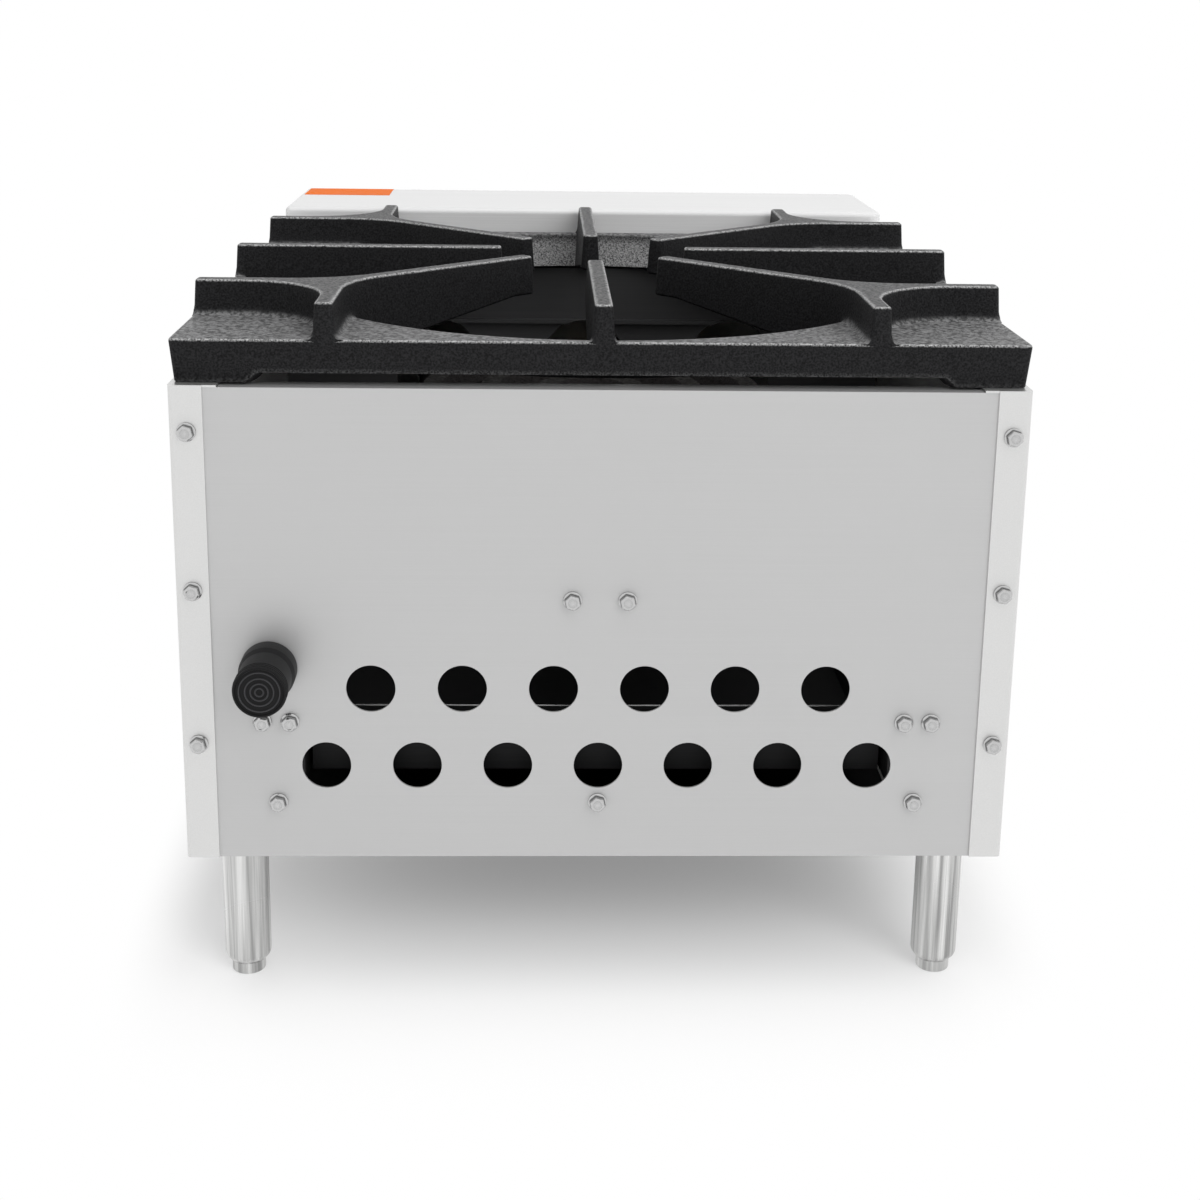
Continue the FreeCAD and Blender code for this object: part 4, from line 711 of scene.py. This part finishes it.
def flange_bolt(place, columns=48):
    """A bolt head along +Y: washer, six sides, and a top cut back by a 30 degree cone.

    Towards an angle a from the middle of a side, that side is flats / 2 / cos(a) away.
    """
    angle = np.linspace(0, TAU, columns, endpoint=False)
    from_middle = (angle + HEAD_TURN) % (TAU / 6) - TAU / 12
    side = HEAD_FLATS / 2 / np.cos(from_middle)
    flat_top = HEAD_FLATS / 2 - 0.35
    shoulder = HEAD_HEIGHT - (side - flat_top) * math.tan(math.radians(30))
    # The third value of each loop is painted shade: dark where the washer sits on the panel and
    # where the head rises from the washer.
    loops = [(WASHER_RADIUS - 0.4, 0.0, 1), (WASHER_RADIUS, 0.35, 0.7), (WASHER_RADIUS, 0.8, 0),
             (WASHER_RADIUS - 0.5, 1.25, 0), (side + 0.5, 1.4, 0.3), (side + 0.15, 1.5, 0.8),
             (side, 1.9, 0.6), (side, shoulder - 0.2, 0.1), (side - 0.12, shoulder, 0),
             (flat_top, HEAD_HEIGHT, 0), (flat_top - 0.6, HEAD_HEIGHT, 0),
             (flat_top - 1.0, HEAD_HEIGHT - 0.25, 0.15), (0.4, HEAD_HEIGHT - 0.25, 0)]
    rows = []
    for radius, level, _ in loops:
        radius = np.broadcast_to(radius, angle.shape)
        level = np.broadcast_to(level, angle.shape)
        rows.append(np.column_stack([radius * np.cos(angle), radius * np.sin(angle), level]))
    corner_painted_shade = np.array([[dark] for _, _, dark in loops])
    return (turn_axis(np.array(rows), "Y") + np.array(place)) * MM, corner_painted_shade, "capped"


# %% All the bolts
PANEL_FACE = 298.8
RETURN_FACE = 300.0
SIDES = (-1, 1)
bolt_places = [(side * 219.5, RETURN_FACE, level) for side in SIDES for level in (158, 246, 334)]
bolt_places += [(side * 15, PANEL_FACE, 241) for side in SIDES]
bolt_places += [(side * 177 + gap, PANEL_FACE, 170.5) for side in SIDES for gap in (-7.5, 7.5)]
bolt_places += [(x, PANEL_FACE, 123) for x in (-177, 0, 177)]
bolts = shell_piece("flange_bolts", [flange_bolt(place) for place in bolt_places],
                    bright_zinc, "casing", sharp=25)
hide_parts("rear_panel_bolts")
print("bolts:", len(bolt_places))

# %% [markdown]
# ## Cap on the gas inlet
# The gas pipe ends in a soft black cap that keeps dirt out until the range is connected. It is
# turned, so it is a lathe: a wide collar, a narrower body, and a face with four thin raised rings.
# Three ribs run round its end. They could be steps in the same profile, but a closed disc for each
# is simpler to move, and it stands a little out of the wall. The rings on the face get a painted
# highlight, paler than the rest, and the edge attribute marks them.

# %% Thread cap
CAP_CENTRE = (0.18, 0.2991, 0.202)
CAP_FACE = 36.0
CAP_RIM = 36.8
RING_TOP = 36.7
cap_profile = rounded(
    [(12.5, 0), (15.4, 0), (15.4, 10), (14.2, 14), (14.2, CAP_RIM), (13.2, CAP_RIM)],
    [0.4, 2.5, 2.5, 0.7])
ring_profile = [(13.0, CAP_RIM), (12.6, CAP_FACE)]
for ring in (10.9, 7.6, 4.7, 2.2):
    ring_profile += [(ring + 0.55, CAP_FACE), (ring + 0.2, RING_TOP), (ring - 0.2, RING_TOP),
                     (ring - 0.55, CAP_FACE)]
ring_profile += [(0.5, CAP_FACE)]
cap_rows = np.concatenate([cap_profile, ring_profile])
# The ring tops carry a painted highlight through the edge attribute.
on_ring = (cap_rows[:, 1:] > RING_TOP - 0.1) & (cap_rows[:, :1] < 12)
cap_shells = [(lathe(cap_rows, CAP_CENTRE, "Y"), 1.0 * on_ring, "capped")]
for start in (29.6, 31.8, 34.0):
    rib = rounded([(13.8, start), (14.55, start + 0.15), (14.55, start + 1.05),
                   (13.8, start + 1.2)], [0.3, 0.3])
    cap_shells.append((lathe(rib, CAP_CENTRE, "Y"), 0, "capped"))
cap = shell_piece("thread_cap", cap_shells, cap_rubber, "inlet_cap", sharp=50)
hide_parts("inlet_cap")
print("cap:", len(cap_shells), "shells")

# %% [markdown]
# ## Knobs
# A range's knob is a moulded disc with a bar across it for the fingers, and a pale line on the bar
# shows how far it is turned. The disc is a lathe. The bar is a rounded outline that rises like a
# rib of the grate, and it is kept inside the disc by drawing its far points towards the middle.

# %% Knobs
KNOB_BACK = -302.0
KNOB_HEIGHT = 0.26
GRIP_LIMIT = 22.8
GRIP_CROWN = 33.6
CROWN_ROUND = 2.2
knob_skirt = rounded([(20, 0), (23, 0), (23, 3.2), (21.6, 8), (17.4, 14), (10, 14.6)],
                     [0.8, 1.6, 2.0, 3.0])
grip_outline = outline_of([(5.5, -21), (5.5, 21), (-5.5, 21), (-5.5, -21)], [4.2] * 4, spacing=2.5)


def knob_grip():
    """The grip bar: its outline rises with a foot fillet, a slight lean and a rounded crown."""
    outline, normal = grip_outline
    loops = [(5.0, 1.2)]
    for angle in np.linspace(0, math.pi / 2, 5):
        loops.append((12.0 + 3 * (1 - math.cos(angle)), 0.4 + 2.5 * (1 - math.sin(angle))))
    for angle in np.linspace(0, math.pi / 2, 6):
        loops.append((GRIP_CROWN - CROWN_ROUND * (1 - math.sin(angle)),
                      -0.8 - CROWN_ROUND * (1 - math.cos(angle))))
    rows = []
    for level, push in loops:
        place = outline + normal * push
        shrink = np.clip(GRIP_LIMIT / np.hypot(*place.T), None, 1)
        place = place * shrink[:, None]
        rows.append(np.column_stack([place, np.full(len(place), level)]))
    return np.array(rows)


def knob_pointer():
    """A thin raised line along the grip's crown, towards the knob's mark."""
    outline, normal = outline_of([(0.7, 3), (0.7, 19), (-0.7, 19), (-0.7, 3)], [0.6] * 4,
                                 spacing=2.5)
    loops = [(32.9, 0.0), (33.85, 0.0), (34.0, -0.2)]
    return np.array([np.column_stack([outline + normal * push, np.full(len(outline), level)])
                     for level, push in loops])


pointer_white = moulded("pointer_white", (0.75, 0.75, 0.73), 0.4, depth=0.02)
for name, knob_x in (("left", -0.112), ("center", 0.0), ("right", 0.112)):
    centre = np.array([knob_x, KNOB_BACK * MM, KNOB_HEIGHT])
    grip = turn_axis(knob_grip(), "-Y") * MM + centre
    turned_knob = shell_piece("moulded_knob_" + name, [
        (lathe(knob_skirt, centre, "-Y"), 0, "capped"), (grip, 0, "capped")],
        knob_black, "knob_" + name, sharp=50)
    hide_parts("knob_" + name)
    mark = turn_axis(knob_pointer(), "-Y") * MM + centre
    shell_piece("knob_mark_" + name, [(mark, 0, "capped")], pointer_white,
                "knob_" + name)
    print("knob", name, "at x", knob_x)

# %% [markdown]
# ## Legs and feet
# Each leg is a drawn tube whose end is spun in to a rounded shoulder, and a foot screws up into
# it to level the range. Both are lathes. The thread is shown as rings, because a true spiral
# would look the same and wouldn't close as simply.

# %% Legs and feet
LEG_X = 203
LEG_Y = 260
THREAD_PITCH = 0.8
leg_profile = rounded([(9.8, 14), (9.8, 7), (10.3, 7), (13.25, 10.5), (13.25, 90)],
                      [0.15, 0.3, 5.5])
turns = np.arange(37)
thread = np.column_stack([9.7 - 0.45 * (turns % 2), 11 + THREAD_PITCH * turns])
foot_profile = np.concatenate([rounded([(8.4, 0), (9.7, 0), (9.7, 9.5), (9.3, 10.2)], [1.1, 0.4]),
                               thread])
for place, side, end in (("front_left", -1, -1), ("front_right", 1, -1), ("rear_left", -1, 1),
                         ("rear_right", 1, 1)):
    foot_at = np.array([side * LEG_X, end * LEG_Y, 0]) * MM
    tube = shell_piece("leg_tube_" + place, [(lathe(leg_profile, foot_at), 0, "capped")],
                       steel_leg, "casing")
    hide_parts("leg_" + place)
    foot = shell_piece("screw_foot_" + place, [(lathe(foot_profile, foot_at), 0, "capped")],
                       steel_leg, "foot_" + place, sharp=50)
    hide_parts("foot_" + place)
print("legs stand", LEG_X, "mm to each side and", LEG_Y, "mm to the front and the rear")

# %% [markdown]
# ## The tray's rolled rim
# Through the upper vents a bright line shows the top of the crumb tray's rear wall, where the
# sheet's edge is rolled over. The roll could be part of a new tray, but a thin rod along that edge
# catches the light just as well and leaves the tray as it is.

# %% Rolled rim
tray_low, tray_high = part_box("drip_tray")
rim_length = (tray_high[0] - tray_low[0]) / MM
rim_profile = rounded([(0.2, 0), (0.9, 0), (0.9, rim_length), (0.2, rim_length)], [0.3, 0.3])
rim_start = (tray_low[0], tray_high[1] - 0.0009, tray_high[2] - 0.0005)
rim_grid = lathe(rim_profile, rim_start, "X", columns=16)
shell_piece("tray_rolled_rim", [(rim_grid, 0, "capped")], bright_zinc, "drip_tray")
print("tray rim:", round(rim_length), "mm long at height", round(tray_high[2], 4))

# %% [markdown]
# ## Burner ports
# Gas leaves a cast ring through drilled holes along both of its shoulders. Cutting hundreds of
# holes would cost many faces, so each port is a small burr round a shallow well, set on the
# shoulder's slope.

# %% Ports on the three rings
SHOULDER_RISE = 9.6
SHOULDER_RUN = 6.0
SHOULDER_OUT = 9.0
SHOULDER_LEVEL = 307.2
PORT_SPACING = 9.0
PORT_COLUMNS = 8


def ring_ports(radius):
    """Wells with burrs along both shoulders of a ring; each is a tiny lathe.

    A port's axis is the shoulder's normal, (rise, run) / length, and leans outwards by it.
    """
    profile = np.array([(1.9, -0.4), (1.75, 0.35), (1.2, 0.4), (1.0, -0.1), (0.9, -0.3)])
    wells = []
    for side in SIDES:
        middle = radius + side * SHOULDER_OUT
        count = int(TAU * middle / PORT_SPACING)
        turn = np.linspace(0, TAU, count, endpoint=False)
        around = np.linspace(0, TAU, PORT_COLUMNS, endpoint=False)
        normal = np.array([side * SHOULDER_RISE, SHOULDER_RUN])
        normal /= math.hypot(SHOULDER_RISE, SHOULDER_RUN)
        r = profile[:, 0][:, None] * np.cos(around)
        t = profile[:, 0][:, None] * np.sin(around)
        h = np.broadcast_to(profile[:, 1][:, None], r.shape)
        out = middle + h * normal[0] + r * normal[1]
        up = SHOULDER_LEVEL + h * normal[1] - r * normal[0]
        for angle in turn:
            x = out * math.cos(angle) - t * math.sin(angle)
            y = out * math.sin(angle) + t * math.cos(angle) + GRATE_Y
            wells.append((np.stack([x, y, up], axis=-1) * MM, 0, "capped"))
    return wells


for name, radius in (("outer", 104), ("middle", 66), ("inner", 28)):
    wells = ring_ports(radius)
    shell_piece("ports_" + name, wells, burner_iron, "casing")
    print(name, "ring ports:", len(wells))

# %% [markdown]
# ## Studio
# A white product picture needs three things: a pale floor that keeps the shadow, a white world
# that metal can mirror, and broad soft lamps. The world is white to the camera and to mirrored
# rays, and dimmer as a lamp, so that pale steel doesn't clip. A floor of one even colour would
# show its own far edge and the lamps' falloff, so this one fades to plain white past the range.

# %% World
scene = bpy.context.scene
scene.view_settings.view_transform = "Standard"


def studio_world(brightness):
    """White to the camera and in mirrors, and a plain even light of the given brightness."""
    world = bpy.data.worlds.new("studio_world")
    world.use_nodes = True
    tree = world.node_tree
    sky = tree.nodes["Background"]
    sky.inputs["Color"].default_value = (1, 1, 1, 1)
    path = add(tree, "ShaderNodeLightPath")
    seen = add(tree, "ShaderNodeMath", operation="ADD")
    tree.links.new(path.outputs["Is Camera Ray"], seen.inputs[0])
    tree.links.new(path.outputs["Is Glossy Ray"], seen.inputs[1])
    more = add(tree, "ShaderNodeMath", operation="ADD", use_clamp=True)
    tree.links.new(seen.outputs[0], more.inputs[0])
    tree.links.new(path.outputs["Is Transmission Ray"], more.inputs[1])
    strength = add(tree, "ShaderNodeMapRange")
    strength.inputs["To Min"].default_value = brightness
    strength.inputs["To Max"].default_value = 1.0
    tree.links.new(more.outputs[0], strength.inputs["Value"])
    tree.links.new(strength.outputs["Result"], sky.inputs["Strength"])
    return world


WORLD_LIGHT = 0.42
scene.world = studio_world(WORLD_LIGHT)
print("world: white where it is seen or mirrored, and", WORLD_LIGHT, "of white as a lamp")


# %% Lamps
def softbox(name, place, aim, size, power):
    """A square area lamp at a place, turned so that it shines towards a point."""
    lamp = bpy.data.lights.new(name, "AREA")
    lamp.shape = "SQUARE"
    lamp.size = size
    lamp.energy = power
    thing = bpy.data.objects.new(name, lamp)
    thing.location = place
    thing.rotation_euler = (Vector(place) - Vector(aim)).to_track_quat("Z", "Y").to_euler()
    thing.visible_glossy = False
    scene.collection.objects.link(thing)
    print(name, power, "W at", place)


RANGE_MIDDLE = (0, 0, 0.2)
softbox("top_softbox", (-0.3, 0.5, 2.6), RANGE_MIDDLE, 2.6, 44)
softbox("rear_softbox", (-1.4, 2.6, 1.6), RANGE_MIDDLE, 1.8, 38)
softbox("front_softbox", (1.6, -2.6, 1.6), RANGE_MIDDLE, 1.8, 14)


# %% Floor
def floor_material(color, footprint, reach, glow):
    """Pale floor that keeps the shadow near a footprint and fades to a plain white backdrop.

    The footprint is a half width and a half depth. The glow is the share of plain white that the
    floor shows to the camera even under the object, and it grows to 1 at the reach beyond it.
    """
    material, tree, shader = empty_material("pale_floor", color, 0.0, 0.9)
    shader.inputs["Specular IOR Level"].default_value = 0.0
    place = add(tree, "ShaderNodeTexCoord")
    size = add(tree, "ShaderNodeVectorMath", operation="ABSOLUTE")
    beyond = add(tree, "ShaderNodeVectorMath", operation="SUBTRACT")
    beyond.inputs[1].default_value = (*footprint, 0)
    outside = add(tree, "ShaderNodeVectorMath", operation="MAXIMUM")
    share = add(tree, "ShaderNodeVectorMath", operation="DIVIDE")
    share.inputs[1].default_value = (*reach, 1)
    length = add(tree, "ShaderNodeVectorMath", operation="LENGTH")
    tree.links.new(place.outputs["Object"], size.inputs[0])
    tree.links.new(size.outputs["Vector"], beyond.inputs[0])
    tree.links.new(beyond.outputs["Vector"], outside.inputs[0])
    tree.links.new(outside.outputs["Vector"], share.inputs[0])
    tree.links.new(share.outputs["Vector"], length.inputs[0])
    fade = add(tree, "ShaderNodeMapRange", interpolation_type="SMOOTHSTEP")
    fade.inputs["To Min"].default_value = glow
    tree.links.new(length.outputs["Value"], fade.inputs["Value"])
    white = add(tree, "ShaderNodeEmission")
    mix = add(tree, "ShaderNodeMixShader")
    tree.links.new(fade.outputs["Result"], mix.inputs["Fac"])
    tree.links.new(shader.outputs["BSDF"], mix.inputs[1])
    tree.links.new(white.outputs["Emission"], mix.inputs[2])
    diffuse = add(tree, "ShaderNodeMixShader")
    path = add(tree, "ShaderNodeLightPath")
    tree.links.new(path.outputs["Is Diffuse Ray"], diffuse.inputs["Fac"])
    tree.links.new(mix.outputs["Shader"], diffuse.inputs[1])
    tree.links.new(shader.outputs["BSDF"], diffuse.inputs[2])
    out = tree.nodes["Material Output"]
    tree.links.new(diffuse.outputs["Shader"], out.inputs["Surface"])
    return material


bpy.ops.mesh.primitive_plane_add(size=40)
floor = bpy.context.object
floor.name = "pale_floor"
floor.data.materials.append(floor_material(
    color=(0.96, 0.96, 0.96), footprint=(0.235, 0.14), reach=(0.055, 0.31), glow=0.2))
print("floor:", floor.name, tuple(floor.dimensions))

# %% [markdown]
# ## Camera
# The picture was taken from behind the range, a little above it, and a shifted lens kept its
# verticals straight. Tilting the camera alone would make them lean, and a large shift would push
# the range out of the frame from other sides, so the camera does some of each.

# %% Camera
VIEW_TURN = (75.901, -0.798, 178.281)
photo_lens = bpy.data.cameras.new("photo_camera")
photo_lens.lens = 55.314
photo_lens.shift_y = -0.12
camera = bpy.data.objects.new("photo_camera", photo_lens)
camera.location = (0.03318, 1.24983, 0.5611)
camera.rotation_euler = [math.radians(turn) for turn in VIEW_TURN]
scene.collection.objects.link(camera)
scene.camera = camera
print("camera at", tuple(camera.location), "with a lens of", photo_lens.lens, "mm")
